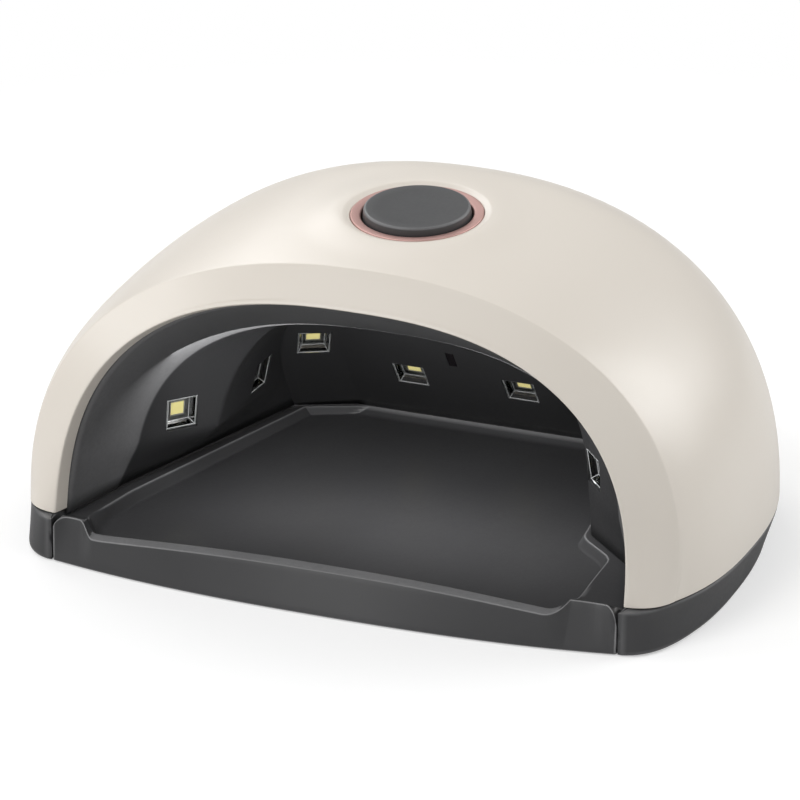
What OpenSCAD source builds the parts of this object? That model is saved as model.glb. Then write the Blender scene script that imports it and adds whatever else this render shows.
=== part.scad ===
/* [Body] */
// Width of the shell at its widest place
body_w = 222; // [210:1:236]
// Depth from the front of the tray to the back of the shell
body_d = 170; // [162:1:182]
// Height of the top of the shell above the table
body_h = 102; // [98:1:110]
// Height of the base, where the shell starts
base_h = 14; // [13:0.5:16]
// How far the rubber feet stand out below the base
foot_drop = 0.4; // [0.4:0.1:1.6]

/* [Shell] */
// Wall of the shell
shell_wall = 2.4; // [2:0.1:3]
// Roundness of the shell's arch, where 2 is an ellipse
arch_round = 2.26; // [2.1:0.02:2.5]
// Distance of the widest place behind the middle of the body
widest_y = -20; // [-30:1:0]
// Distance of the highest place behind the middle of the body
crown_y = 22; // [10:1:30]
// How much lower the shell is at its front ridge than at the crown
crown_drop = 7; // [5:0.5:10]
// How far the front of the shell leans back for each millimetre of height
front_lean = 0.17; // [0.1:0.01:0.22]

/* [Opening] */
// Width of the hand opening at the base
open_w = 181; // [176:1:184]
// Height of the hand opening above the base
open_h = 73.5; // [70:0.5:75]
// Roundness of the hand opening
open_round = 2.5; // [2.3:0.05:2.8]
// Distance of the opening behind the front line of the base
open_setback = 4; // [3:0.5:5]
// Depth of the sloping band around the opening
band_run = 9.5; // [8:0.5:12]
// How far the foot of the band swells out at the front corners
band_swell = 2.7; // [0:0.1:3]
// Height above the base up to which it swells
swell_h = 30; // [20:1:40]
// Depth of the lip that turns back inside the opening
lip_depth = 5; // [4:0.5:6]
// Thickness of that lip
lip_wall = 1.5; // [1.2:0.1:2]

/* [Liner] */
// Half width of the cavity at its mouth, at the height of the lamps
mouth_hw = 78; // [75:0.5:80]
// Distance of the mouth behind the front line of the base, as a share of the body's depth
mouth_share = 0.194; // [0.182:0.002:0.206]
// Half width of the cavity behind its slanting walls, at the height of the lamps
inner_hw = 60.5; // [58:0.5:64]
// Length of the slanting walls along the depth, as a share of the body's depth
slant_share = 0.1194; // [0.106:0.0002:0.13]
// Half width of the cavity at its rear wall
rear_hw = 59; // [57:0.5:61]
// How much the foot of the wall stands out at the mouth
mouth_flare = 5; // [3:0.5:6]
// How much the foot of the wall stands out behind the slanting walls
inner_flare = 16.4; // [12:0.1:18]
// The same for the right wall, whose foot runs nearly straight down
right_flare = 1.5; // [1:0.1:4]
// Height above the tray up to which the wall's foot slopes
flare_h = 13.5; // [11:0.5:15]
// Distance of the cavity's ceiling below the top of the shell
ceiling_drop = 31.4; // [30:0.2:34]
// Distance of the foot of the rear wall from the back of the shell, as a share of the body's depth
rear_share = 0.241; // [0.224:0.001:0.26]
// How far the rear wall leans forward for each millimetre of height
rear_lean = 0.7; // [0.6:0.02:0.75]
// Width of the slanting corners at the ends of the rear wall
rear_corner_w = 19; // [16:0.5:21]
// Wall of the liner
liner_wall = 2; // [1.6:0.1:2.4]

/* [Lamps] */
// Height of the front and side lamps above the table
lamp_z = 33.5; // [31:0.5:36]
// Height of the corner lamps above the table
corner_z = 40; // [36:0.5:42]
// Height of the rear lamps above the table
rear_z = 30; // [27:0.5:33]
// Place of each rear lamp, as a share of half the rear wall's straight middle
rear_lamp_share = 0.455; // [0.4:0.005:0.5]
// Place of the left front lamp along its slanting wall, from the mouth inward
left_lamp_share = 0.466; // [0.4:0.01:0.6]
// Place of the right front lamp along its slanting wall, from the mouth inward
right_lamp_share = 0.74; // [0.4:0.01:0.74]
// Side of a square lens
lens_side = 10.2; // [9:0.2:10.6]
// Depth of the funnel in a lens
funnel_depth = 2.3; // [1.8:0.1:2.4]
// Side of a light emitting chip
chip_side = 5; // [4:0.2:5.4]
// Thickness of a circuit board
board_t = 1.2; // [1:0.1:1.6]

/* [Button] */
// Radius of the button's cap
button_r = 16.3; // [15:0.1:16.6]
// How far the cap stands above the shell
button_rise = 1.6; // [1.2:0.1:2.2]
// Travel of the button
button_travel = 0.5; // [0.4:0.05:0.6]
// Outer radius of the trim ring
trim_r = 20; // [19:0.1:20.6]
// Width of the trim ring's face
trim_w = 3.1; // [2.8:0.1:3.4]
// Distance of the button behind the middle of the body
button_y = -8.5; // [-12:0.5:-4]

/* [Tray] */
// How far the front of the tray bows out
tray_bow = 7.5; // [6:0.5:9]
// Height of the shoulders above the table
shoulder_z = 13.8; // [13.4:0.1:14]
// Height of the rails above the table
rail_z = 11.8; // [11.6:0.1:12]
// Height of the tray's floor at the front
floor_front_z = 7.6; // [7:0.1:8]
// Height of the tray's floor at the back
floor_back_z = 9.4; // [9:0.1:10]
// Width of a rail
rail_w = 7; // [6:0.5:8]
// Skin of the tray above the hollow of its underside
tray_wall = 3; // [2.6:0.1:3.4]
// Running clearance around the tray
tray_clear = 0.4; // [0.3:0.05:0.6]

/* [Fasteners and feet] */
// Outer radius of a screw boss
boss_r = 3.4; // [3.2:0.1:3.8]
// Radius of the screws
screw_r = 1.4; // [1.2:0.05:1.5]
// Radius of a rubber foot
foot_r = 5; // [4:0.5:5.5]
// Radius of the magnets
magnet_r = 3; // [2.5:0.1:3.2]
// Thickness of the magnets
magnet_t = 2.4; // [2:0.1:2.6]

/* [Hidden] */

// Body lines along the depth, worked out from the front line of the base.
y_back = body_d / 2;
y_gap = -body_d / 2 + tray_bow;
y_open = y_gap + open_setback;
y_ridge = y_open + band_run;
dome_h = body_h - base_h;
slant_run = slant_share * body_d;
y_mouth = y_gap + mouth_share * body_d;
y_inner = y_mouth + slant_run;
y_rear = y_back - rear_share * body_d;
half_w = body_w / 2;
ceiling_z = body_h - ceiling_drop;
rear_flat_hw = rear_hw - rear_corner_w;
rear_lamp_x = rear_lamp_share * rear_flat_hw;
gap_hw = 90.2;
front_round = 85.7;
front_power = 2.6;
back_power = 2.4;
crown_power = 1.6;
back_fall = 1.98;

// Clearances shared by mating pieces.
fit = 0.15;
seam = 0.4;
liner_gap = 0.3;

function clamp(v, low, high) = min(max(v, low), high);
function between(a, b, t) = a + (b - a) * t;
function ease(t) = let (c = clamp(t, 0, 1)) c * c * (3 - 2 * c);
function signed_power(v, p) = sign(v) * pow(abs(v), p);

// Half width of the shell's outline at its base, for an inset of the wall.
function outline_hw(y, inset = 0) =
  let (u = y - widest_y, reach = y_back - widest_y - inset,
       p = u < 0 ? front_power : back_power,
       r = u < 0 ? front_round : reach)
  (half_w - inset) * pow(max(1 - pow(min(abs(u) / r, 1), p), 0), 1 / p);

// Height of the shell's middle line above its base.
function crown_line(y, inset = 0) =
  let (u = y - crown_y, h = dome_h - inset, run = crown_y - y_ridge,
       fall = y_back - crown_y - inset)
  u < 0 ? h - crown_drop * pow(abs(u) / run, crown_power)
        : h * pow(max(1 - pow(min(u / fall, 1), back_fall), 0), 1 / back_fall);

// One point of an arch across the body, at the angle a from 0 on the left to 180 on the right.
function arch_x(a, n) = -signed_power(cos(a), 2 / n);
function arch_z(a, n) = pow(abs(sin(a)), 2 / n);
function flat_arch(hw, h, n, y, lean, z0, angles) =
  [for (a = angles) let (z = h * arch_z(a, n)) [hw * arch_x(a, n), y + lean * z, z0 + z]];
function dome_point(y, lean, a, inset) =
  let (f = arch_z(a, arch_round), y1 = y + lean * crown_line(y, inset) * f,
       y2 = y + lean * crown_line(y1, inset) * f,
       y3 = y + lean * crown_line(y2, inset) * f)
  [outline_hw(y3, inset) * arch_x(a, arch_round), y3, base_h + crown_line(y3, inset) * f];

// Triangles of a grid of rows, and of the strips that close two skins into one wall.
function grid_faces(rows, cols, start, flip) = [for (r = [0:rows - 2], c = [0:cols - 2])
  let (a = start + r * cols + c, b = a + 1, d = a + cols, e = d + 1)
  each flip ? [[a, d, e], [a, e, b]] : [[a, b, e], [a, e, d]]];
function fan_faces(start, cols, tip, flip) = [for (c = [0:cols - 2])
  let (a = start + c, b = a + 1) flip ? [a, tip, b] : [a, b, tip]];
function strip_faces(first, second, flip) = [for (i = [0:len(first) - 2])
  let (a = first[i], b = first[i + 1], c = second[i + 1], d = second[i])
  each flip ? [[a, c, b], [a, d, c]] : [[a, b, c], [a, c, d]]];

// Shell: rows of arches from the opening's edge over the ridge to the pole at the back.
shell_rows = 22;
shell_cols = 41;
arch_angles = [for (i = [0:shell_cols - 1]) 180 * i / (shell_cols - 1)];
function row_y(k, inset) = y_ridge + (y_back - inset - y_ridge) * sin(90 * k / shell_rows);
function row_lean(k) = front_lean * pow(1 - k / shell_rows, 1.5);
function shell_skin(inset) = [for (k = [0:shell_rows - 1], a = arch_angles)
  dome_point(row_y(k, inset) + (inset > 0 && k == 0 ? inset * 1.2 : 0), row_lean(k), a, inset)];
opening_edge = flat_arch(open_w / 2, open_h, open_round, y_open, front_lean, base_h, arch_angles);
lip_edge = flat_arch(open_w / 2 - lip_wall, open_h - lip_wall, open_round,
  y_open + lip_depth, front_lean, base_h, arch_angles);

// Middle of the band around the opening, which swells out towards its foot.
band_turn = atan2(outline_hw(y_ridge) - open_w / 2, band_run);
function swell(z) = band_swell * pow(max(0, 1 - (z - base_h) / swell_h), 2);
function row_between(first, second, grow) = [for (i = [0:len(first) - 1])
  let (p = between(first[i], second[i], 0.5), s = grow * swell(p[2]))
  p + s * [sign(p[0]) * cos(band_turn), -sin(band_turn), 0]];

module shell_wall_solid() {
  bands = shell_rows + 2;
  skin = shell_cols * bands + 1;
  pole = skin - 1;
  dome = shell_skin(0);
  inside = shell_skin(shell_wall);
  outer = [each opening_edge, each row_between(opening_edge, dome, 1), each dome, [0, y_back, base_h]];
  inner = [each lip_edge, each row_between(lip_edge, inside, 0), each inside,
    [0, y_back - shell_wall, base_h]];
  last = shell_cols * (bands - 1);
  left_outer = [for (k = [0:bands - 1]) k * shell_cols];
  right_outer = [for (k = [0:bands - 1]) k * shell_cols + shell_cols - 1];
  front = [for (c = [0:shell_cols - 1]) c];
  polyhedron([each outer, each inner], [
    each grid_faces(bands, shell_cols, 0, true),
    each fan_faces(last, shell_cols, pole, true),
    each grid_faces(bands, shell_cols, skin, false),
    each fan_faces(skin + last, shell_cols, skin + pole, false),
    each strip_faces([each left_outer, pole], [for (i = [each left_outer, pole]) i + skin], true),
    each strip_faces([each right_outer, pole], [for (i = [each right_outer, pole]) i + skin], false),
    each strip_faces(front, [for (i = front) i + skin], false)]);
}

// Button frame: its origin is on the shell's surface and its axis is square to the surface.
button_z = base_h + crown_line(button_y);
button_tilt = atan((crown_line(button_y + 1) - crown_line(button_y - 1)) / 2);
module in_button_frame() {
  translate([0, button_y, button_z]) rotate([button_tilt, 0, 0]) children();
}
trim_drop = 0.4;
trim_h = 3;
well_z = -trim_drop - trim_h;
collar_r = trim_r + 3.4;
collar_h = 3.4;
dish_r = trim_r + 1.9;
dish_depth = 0.9;
board_z = -16;
board_l = 62;
board_w = 42;
board_hole_x = board_l / 2 - 5;
board_hole_y = board_w / 2 - 5;
board_holes = [for (x = [-1, 1], y = [-1, 1]) [x * board_hole_x, y * board_hole_y]];
board_boss_r = 3;
control_chip_l = 10;
control_chip_w = 7;
control_chip_t = 1.6;
chip_x = 16;
capacitor_x = 12;
capacitor_r = 4;
capacitor_h = 6;
pilot_r = 0.9;

// Screw posts that stand in the base and reach up into the shell.
function outline_normal(y) = let (s = outline_hw(y + 0.5) - outline_hw(y - 0.5), l = sqrt(1 + s * s))
  [1 / l, -s / l];
function inset_point(y, d) = let (n = outline_normal(y)) [outline_hw(y) - d * n[0], y - d * n[1]];
boss_inset = 7.6;
rib_t = 1.6;
boss_len = 12;
boss_rows = [y_mouth + 6.5, y_rear];
boss_points = [for (y = boss_rows) let (p = inset_point(y, boss_inset)) each [p, [-p[0], p[1]]]];
module boss_ribs() {
  for (y = boss_rows, s = [0, 1]) let (p = inset_point(y, boss_inset), n = outline_normal(y))
    mirror([s, 0, 0]) translate([p[0], p[1], base_h]) rotate([0, 0, atan2(n[1], n[0])])
      translate([screw_r + 0.6, -rib_t / 2, 0]) cube([boss_inset - screw_r - 1.9, rib_t, boss_len]);
}

module top_shell() {
  color("antiquewhite") difference() {
    union() {
      shell_wall_solid();
      in_button_frame() {
        translate([0, 0, well_z - collar_h])
          cylinder(r = collar_r, h = trim_h + collar_h - 1.4, $fn = 72);
        for (p = board_holes)
          translate([p[0], p[1], board_z]) cylinder(r = board_boss_r, h = -board_z - 3.4, $fn = 32);
      }
      for (p = boss_points) translate([p[0], p[1], base_h]) cylinder(r = boss_r, h = boss_len, $fn = 32);
      boss_ribs();
    }
    in_button_frame() {
      translate([0, 0, well_z]) cylinder(r = trim_r + fit, h = 12, $fn = 96);
      translate([0, 0, well_z - collar_h - 1]) cylinder(r = guide_r, h = 12, $fn = 72);
      translate([0, 0, -dish_depth])
        cylinder(r1 = trim_r + fit, r2 = dish_r, h = dish_depth + 0.2, $fn = 96);
      translate([0, 0, 0.2]) cylinder(r = dish_r, h = 6, $fn = 96);
      for (p = board_holes) translate([p[0], p[1], board_z - 1]) cylinder(r = pilot_r, h = 9, $fn = 24);
    }
    for (p = boss_points)
      translate([p[0], p[1], base_h - 1]) cylinder(r = screw_r, h = boss_len - 1, $fn = 24);
  }
}

// Button: cap with a rounded rim, a flange that the trim ring holds down, and a stem.
guide_r = trim_r - trim_w + 1.3;
flange_r = guide_r - 0.6;
flange_gap = 0.3;
flange_top = well_z - flange_gap;
flange_t = 1.2;
cap_round = 0.9;
stem_r = 3;
switch_side = 12;
switch_h = 3.5;
plunger_r = 3.3;
plunger_h = 4.4;
plunger_top = board_z + switch_h + plunger_h;
stem_gap = 0.3;

module power_button() {
  color("dimgray") in_button_frame() {
    rotate_extrude($fn = 96) polygon([
      [0, flange_top - flange_t], [flange_r, flange_top - flange_t], [flange_r, flange_top],
      [button_r, flange_top], [button_r, button_rise - cap_round],
      for (a = [15:15:75])
        [button_r - cap_round + cap_round * cos(a), button_rise - cap_round + cap_round * sin(a)],
      [button_r - cap_round, button_rise], [0, button_rise - 0.35]]);
    translate([0, 0, plunger_top + stem_gap])
      cylinder(r = stem_r, h = flange_top - flange_t / 2 - plunger_top - stem_gap, $fn = 32);
  }
}

module button_trim_ring() {
  color("rosybrown") in_button_frame() rotate_extrude($fn = 96) polygon([
    [trim_r - trim_w, well_z], [trim_r, well_z], [trim_r, -trim_drop - 0.3],
    [trim_r - 0.3, -trim_drop], [trim_r - trim_w + 0.4, -trim_drop - 0.3],
    [trim_r - trim_w, -trim_drop - 0.7]]);
}

module switch_plunger() {
  color("white") in_button_frame() translate([0, 0, board_z + switch_h - 0.6 - button_travel])
    cylinder(r = plunger_r, h = plunger_h + 0.6 + button_travel, $fn = 32);
}

module switch_body() {
  color("black") in_button_frame() difference() {
    translate([-switch_side / 2, -switch_side / 2, board_z]) cube([switch_side, switch_side, switch_h]);
    translate([0, 0, board_z + 0.8]) cylinder(r = plunger_r + 0.05, h = switch_h, $fn = 32);
  }
}

module control_board() {
  color("darkgreen") in_button_frame() difference() {
    translate([-board_l / 2, -board_w / 2, board_z - board_t]) cube([board_l, board_w, board_t]);
    for (p = board_holes) translate([p[0], p[1], board_z - board_t - 1])
      cylinder(r = screw_r, h = board_t + 2, $fn = 24);
  }
}

module control_chip() {
  color("black") in_button_frame()
    translate([-chip_x, -control_chip_w / 2, board_z - board_t - control_chip_t])
      cube([control_chip_l, control_chip_w, control_chip_t]);
}

module capacitor() {
  color("darkslategray") in_button_frame()
    translate([capacitor_x, 2, board_z - board_t - capacitor_h])
      cylinder(r = capacitor_r, h = capacitor_h, $fn = 32);
}

board_screw_l = 6;
module board_screws() {
  color("silver") in_button_frame() for (p = board_holes) translate([p[0], p[1], board_z - board_t]) {
    translate([0, 0, -1.6]) cylinder(r = 2.4, h = 1.6, $fn = 24);
    cylinder(r = pilot_r, h = board_t + board_screw_l, $fn = 24);
  }
}

// Liner: reveal, slanting walls, side walls, vault and a rear wall that leans forward.
liner_z0 = rail_z + seam;
cavity_round = 2.6;
flare_angle = asin(pow(flare_h / (ceiling_z - liner_z0), cavity_round / 2));
half_angles = [0, flare_angle, 24, 38, 52, 66, 78];
liner_angles = [each half_angles, 90, for (i = [6:-1:0]) 180 - half_angles[i]];
liner_cols = len(liner_angles);
mouth_lean = 0.207;
corner_slope = 0.45;
liner_open_y = y_open + lip_depth + liner_gap;
function rear_y(x, z) = y_rear - rear_lean * (z - liner_z0) - corner_slope * max(abs(x) - rear_flat_hw, 0);
function flared(arch, left, right) = [for (p = arch) let (t = max(0, 1 - (p[2] - liner_z0) / flare_h))
  [p[0] + (p[0] > 0 ? right : -left) * t, p[1], p[2]]];
function liner_skin(t) =
  let (top = ceiling_z + t - liner_z0,
       front = flat_arch(open_w / 2 - lip_wall + 0.3 * t, base_h + open_h - lip_wall + 0.3 * t - liner_z0,
         open_round, liner_open_y + 0.9 * t, front_lean, liner_z0, liner_angles),
       mouth = flared(flat_arch(mouth_hw + t * 1.1, top, cavity_round, y_mouth, mouth_lean, liner_z0,
         liner_angles), mouth_flare, mouth_flare),
       inner = flared(flat_arch(inner_hw + t, top, cavity_round, y_inner + t * 0.8, mouth_lean, liner_z0,
         liner_angles), inner_flare, right_flare),
       rim = [for (p = flat_arch(rear_hw + t, top, cavity_round, 0, 0, liner_z0, liner_angles))
         [p[0], rear_y(p[0], p[2]) + t * 1.25, p[2]]])
  [each front, each mouth, each inner, each rim,
   for (i = [1:liner_cols - 2]) [rim[i][0], rear_y(rim[i][0], liner_z0) + t * 1.25, liner_z0]];

module liner_wall_solid() {
  inner = liner_skin(0);
  outer = liner_skin(liner_wall);
  n = len(inner);
  rim = 3 * liner_cols;
  foot = 4 * liner_cols - 1;
  back = [rim, for (i = [1:liner_cols - 2]) foot + i, rim + liner_cols - 1];
  path = [0, liner_cols, 2 * liner_cols, each back,
    3 * liner_cols - 1, 2 * liner_cols - 1, liner_cols - 1];
  front = [for (i = [0:liner_cols - 1]) i];
  function wall_faces(s, flip) = [
    each grid_faces(4, liner_cols, s, flip),
    for (i = [1:liner_cols - 3]) let (a = s + rim + i, b = a + 1, d = s + foot + i, e = d + 1)
      each flip ? [[a, d, e], [a, e, b]] : [[a, b, e], [a, e, d]],
    let (a = s + rim, b = a + 1, d = s + foot + 1) flip ? [a, d, b] : [a, b, d],
    let (a = s + rim + liner_cols - 1, b = a - 1, d = s + foot + liner_cols - 2)
      flip ? [a, b, d] : [a, d, b]];
  polyhedron([each outer, each inner], [
    each wall_faces(0, true), each wall_faces(n, false),
    each strip_faces(path, [for (i = path) i + n], true),
    each strip_faces(front, [for (i = front) i + n], false)]);
}

// Places of the lamps on the liner's wall: point and outward direction, mirrored for the left half.
lamp_rise = (lamp_z - liner_z0) / (ceiling_z - liner_z0);
lamp_level = pow(max(1 - pow(lamp_rise, cavity_round), 0), 1 / cavity_round);
slant_dx = (mouth_hw - inner_hw) * lamp_level;
function front_lamp(share) = [mouth_hw * lamp_level - share * slant_dx,
  y_mouth + share * slant_run + mouth_lean * (lamp_z - liner_z0), lamp_z];
side_share = 0.66;
side_y0 = y_inner + mouth_lean * (lamp_z - liner_z0);
side_y1 = rear_y(rear_hw, lamp_z);
side_y = between(side_y0, side_y1, side_share);
side_slope = (inner_hw - rear_hw) * lamp_level / (side_y1 - side_y0);
side_lamp = [(inner_hw + (rear_hw - inner_hw) * side_share) * lamp_level, side_y, lamp_z];
corner_lamp_x = rear_flat_hw + 6.4;
corner_lamp = [corner_lamp_x, rear_y(corner_lamp_x, corner_z), corner_z];
rear_lamp = [rear_lamp_x, rear_y(rear_lamp_x, rear_z), rear_z];
lamp_spots = [
  [front_lamp(left_lamp_share), [slant_run, slant_dx, 0.2 * slant_run]],
  [side_lamp, [1, side_slope, 0.22]],
  [corner_lamp, [corner_slope + 0.1, 1, rear_lean]],
  [rear_lamp, [0, 1, rear_lean]]];
function mirror_x(p, side) = [side * p[0], p[1], p[2]];
module at_spot(i, side) {
  p = i == 0 && side > 0 ? front_lamp(right_lamp_share) : mirror_x(lamp_spots[i][0], side);
  d = mirror_x(lamp_spots[i][1], side);
  translate(p) rotate([0, acos(d[2] / norm(d)), atan2(d[1], d[0])]) children();
}
module square_block(side, z0, z1) {
  translate([-side / 2, -side / 2, z0]) cube([side, side, z1 - z0]);
}
pad_side = lens_side + 4.4;
lens_flange = lens_side + 3;
lens_front = 0.1;
flange_back = liner_wall + 1.4;
chip_t = 1.1;
lamp_board_z = flange_back + 0.1 + chip_t;
post_x = 9.6;
lamp_board_l = 2 * post_x + 5;
lamp_board_w = 12;
post_r = 1.7;
pin_r = 0.9;

// The posts of a corner lamp root deeper, because the wall bends away under one of them.
post_roots = [liner_wall / 2, liner_wall / 2, 0.1, liner_wall / 2];
module lamp_posts(root) {
  for (s = [-1, 1]) translate([0, s * post_x, 0]) {
    translate([0, 0, root]) cylinder(r = post_r, h = lamp_board_z - root, $fn = 24);
    translate([0, 0, lamp_board_z - 0.5]) cylinder(r = pin_r, h = board_t + 1.2, $fn = 24);
  }
}

liner_flange_w = 3.2;
liner_flange_t = 1.6;

// Plan line of the liner's inside at its foot, moved outward by d, for the right half from the back.
function foot_line(d) = [
  [0, y_rear + d], [rear_flat_hw + 0.18 * d, y_rear + d],
  [rear_hw + d, y_rear - corner_slope * (rear_hw - rear_flat_hw) + 0.6 * d],
  [inner_hw + inner_flare + d, y_inner + 0.2 * d], [mouth_hw + mouth_flare + d, y_mouth + 0.2 * d],
  [open_w / 2 - lip_wall + d, liner_open_y]];
function mirrored(pts) = [each pts, for (i = [len(pts) - 1:-1:0]) mirror_x([pts[i][0], pts[i][1], 0], -1)];
function flat_points(pts) = [for (p = pts) [p[0], p[1]]];
module plan_shape(d, front_y) {
  half = foot_line(d);
  last = half[len(half) - 1];
  polygon(flat_points(mirrored([each half, [last[0], front_y]])));
}

// Flat foot that joins the right wall to the flange around the tray.
module right_foot_plate() {
  translate([0, 0, liner_z0]) linear_extrude(liner_flange_t) polygon([
    [mouth_hw + mouth_flare + 1, y_mouth + 0.3], [inner_hw + inner_flare + 1, y_inner],
    [rear_hw + 1.2, rear_y(rear_hw, liner_z0)], [rear_hw + 0.8, rear_y(rear_hw, liner_z0) - 3],
    [inner_hw + right_flare + 1, y_inner]]);
}

module inner_liner() {
  color("#2b2b2d") {
    difference() {
      union() {
        liner_wall_solid();
        translate([0, 0, liner_z0]) linear_extrude(liner_flange_t) difference() {
          plan_shape(liner_flange_w + 1, liner_open_y);
          plan_shape(0.6, liner_open_y - 1);
        }
        right_foot_plate();
        for (i = [0:3], side = [-1, 1]) at_spot(i, side) square_block(pad_side, -0.1, liner_wall);
        at_sensor() sensor_pad();
      }
      for (i = [0:3], side = [-1, 1]) at_spot(i, side) {
        square_block(lens_side + 2 * fit, -3, liner_wall + 3);
        square_block(lens_flange + 2 * fit, liner_wall, liner_wall + 6);
        translate([-lamp_board_w / 2 - 1, -lamp_board_l / 2 - 1, lamp_board_z])
          cube([lamp_board_w + 2, lamp_board_l + 2, 6]);
      }
      at_sensor() {
        sensor_slot(fit, -3, liner_wall + 3);
        sensor_slot(1 + fit, liner_wall, liner_wall + 3);
      }
    }
    for (i = [0:3], side = [-1, 1]) at_spot(i, side) lamp_posts(post_roots[i]);
  }
}

module lens(i, side) {
  funnel_top = lens_side - 1.2;
  funnel_foot = chip_side + 0.6;
  color("lightcyan") at_spot(i, side) difference() {
    union() {
      square_block(lens_side, lens_front, flange_back - 0.2);
      square_block(lens_flange, liner_wall, flange_back);
    }
    hull() {
      square_block(funnel_top, lens_front - 0.2, lens_front);
      square_block(funnel_foot, lens_front + funnel_depth - 0.05, lens_front + funnel_depth);
    }
  }
}

module led(i, side) {
  color("gold") at_spot(i, side) square_block(chip_side, lamp_board_z - chip_t, lamp_board_z);
}

module lamp_board(i, side) {
  color("white") at_spot(i, side) difference() {
    translate([-lamp_board_w / 2, -lamp_board_l / 2, lamp_board_z])
      cube([lamp_board_w, lamp_board_l, board_t]);
    for (s = [-1, 1]) translate([0, s * post_x, lamp_board_z - 1])
      cylinder(r = pin_r + 0.1, h = board_t + 2, $fn = 24);
  }
}

module board_rear() {
  reach = rear_lamp[0];
  color("white") at_spot(3, 1) difference() {
    translate([-lamp_board_w / 2, -lamp_board_l / 2, lamp_board_z])
      cube([lamp_board_w, lamp_board_l + 2 * reach, board_t]);
    for (s = [-1, 1], k = [0, 2 * reach]) translate([0, s * post_x + k, lamp_board_z - 1])
      cylinder(r = pin_r + 0.1, h = board_t + 2, $fn = 24);
  }
}

// Hand sensor behind a small dark window in the rear wall.
sensor_w = 2.4;
sensor_l = 7;
sensor_x = -2;
sensor_spot = [sensor_x, rear_y(sensor_x, corner_z), corner_z];
module at_sensor() {
  translate(sensor_spot) rotate([0, acos(rear_lean / norm([1, rear_lean])), 90]) children();
}
module sensor_slot(grow, z0, z1) {
  translate([-sensor_l / 2 - grow, -sensor_w / 2 - grow, z0])
    cube([sensor_l + 2 * grow, sensor_w + 2 * grow, z1 - z0]);
}
module sensor_pad() {
  sensor_slot(1.6, -0.05, liner_wall);
}
module sensor_window() {
  color("black") at_sensor() {
    sensor_slot(0, 0.1, liner_wall + 0.6);
    sensor_slot(1, liner_wall, liner_wall + 0.6);
  }
}
module hand_sensor() {
  color("black") at_sensor() translate([-2, -1.6, liner_wall + 0.6]) cube([4, 3.2, 2]);
}

// Base ring: a shallow channel around the tray, drawn in towards its foot.
ring_draft = 2.8;
ring_wall = 2.4;
ring_floor = 2;
shadow_gap = 0.6;
corner_power = 1.75;
pocket_grow = 1 + tray_clear;
ring_steps = 40;
function corner_outline(inset) = let (x1 = outline_hw(y_ridge))
  [for (a = [0:15:75]) [gap_hw + (x1 - gap_hw - inset) * pow(sin(a), 2 / corner_power),
    y_ridge - (y_ridge - y_gap - inset) * pow(cos(a), 2 / corner_power)]];
function side_outline(inset, draft) = [for (k = [0:ring_steps - 1])
  let (y = y_ridge + (y_back - y_ridge) * sin(90 * k / ring_steps),
       d = inset + draft * ease((y - y_ridge) / 35), p = inset_point(min(y, y_back - 0.02), d))
  [max(p[0], 0.01 * (ring_steps - k)), p[1]]];
function ring_outline(inset, draft) =
  let (half = [each corner_outline(inset), each side_outline(inset, draft)])
  [each half, [0, y_back - inset - draft], for (i = [len(half) - 1:-1:0]) [-half[i][0], half[i][1]]];
module ring_loft(levels) {
  rows = [for (l = levels) [for (p = ring_outline(l[1], l[2])) [p[0], p[1], l[0]]]];
  n = len(rows[0]);
  m = len(rows);
  polyhedron([for (r = rows) each r], [
    for (r = [0:m - 2], i = [0:n - 1]) let (a = r * n + i, b = r * n + (i + 1) % n)
      each [[a, a + n, b + n], [a, b + n, b]],
    [for (i = [0:n - 1]) i],
    [for (i = [n - 1:-1:0]) (m - 1) * n + i]]);
}
module ring_plan(inset) { polygon(ring_outline(inset, 0)); }
module tray_pocket(d) { plan_shape(d, y_gap - 20); }

inlet_r = 4;
inlet_bore_r = 2.8;
inlet_w = 9.4;
inlet_l = 13;
inlet_h = 9.6;
inlet_z = foot_drop + ring_floor + inlet_h / 2;
foot_inset = 17;
front_foot_y = y_mouth;
back_foot_y = y_back - 27;
front_foot_x = (mouth_hw + mouth_flare + pocket_grow + outline_hw(front_foot_y) - ring_draft) / 2;
back_foot_x = outline_hw(back_foot_y) - foot_inset;
foot_spots = [for (s = [-1, 1]) each [[s * front_foot_x, front_foot_y], [s * back_foot_x, back_foot_y]]];
tray_foot_spots = [for (s = [-1, 1]) each
  [[s * (gap_hw - 14), y_gap + 8.5], [s * (rear_hw - 13), y_rear - 16]]];
foot_sink = 0.8;
magnet_x = 0.7 * rear_flat_hw;
magnet_z = 6.2;
tray_back_y = y_rear + 1;

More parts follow.
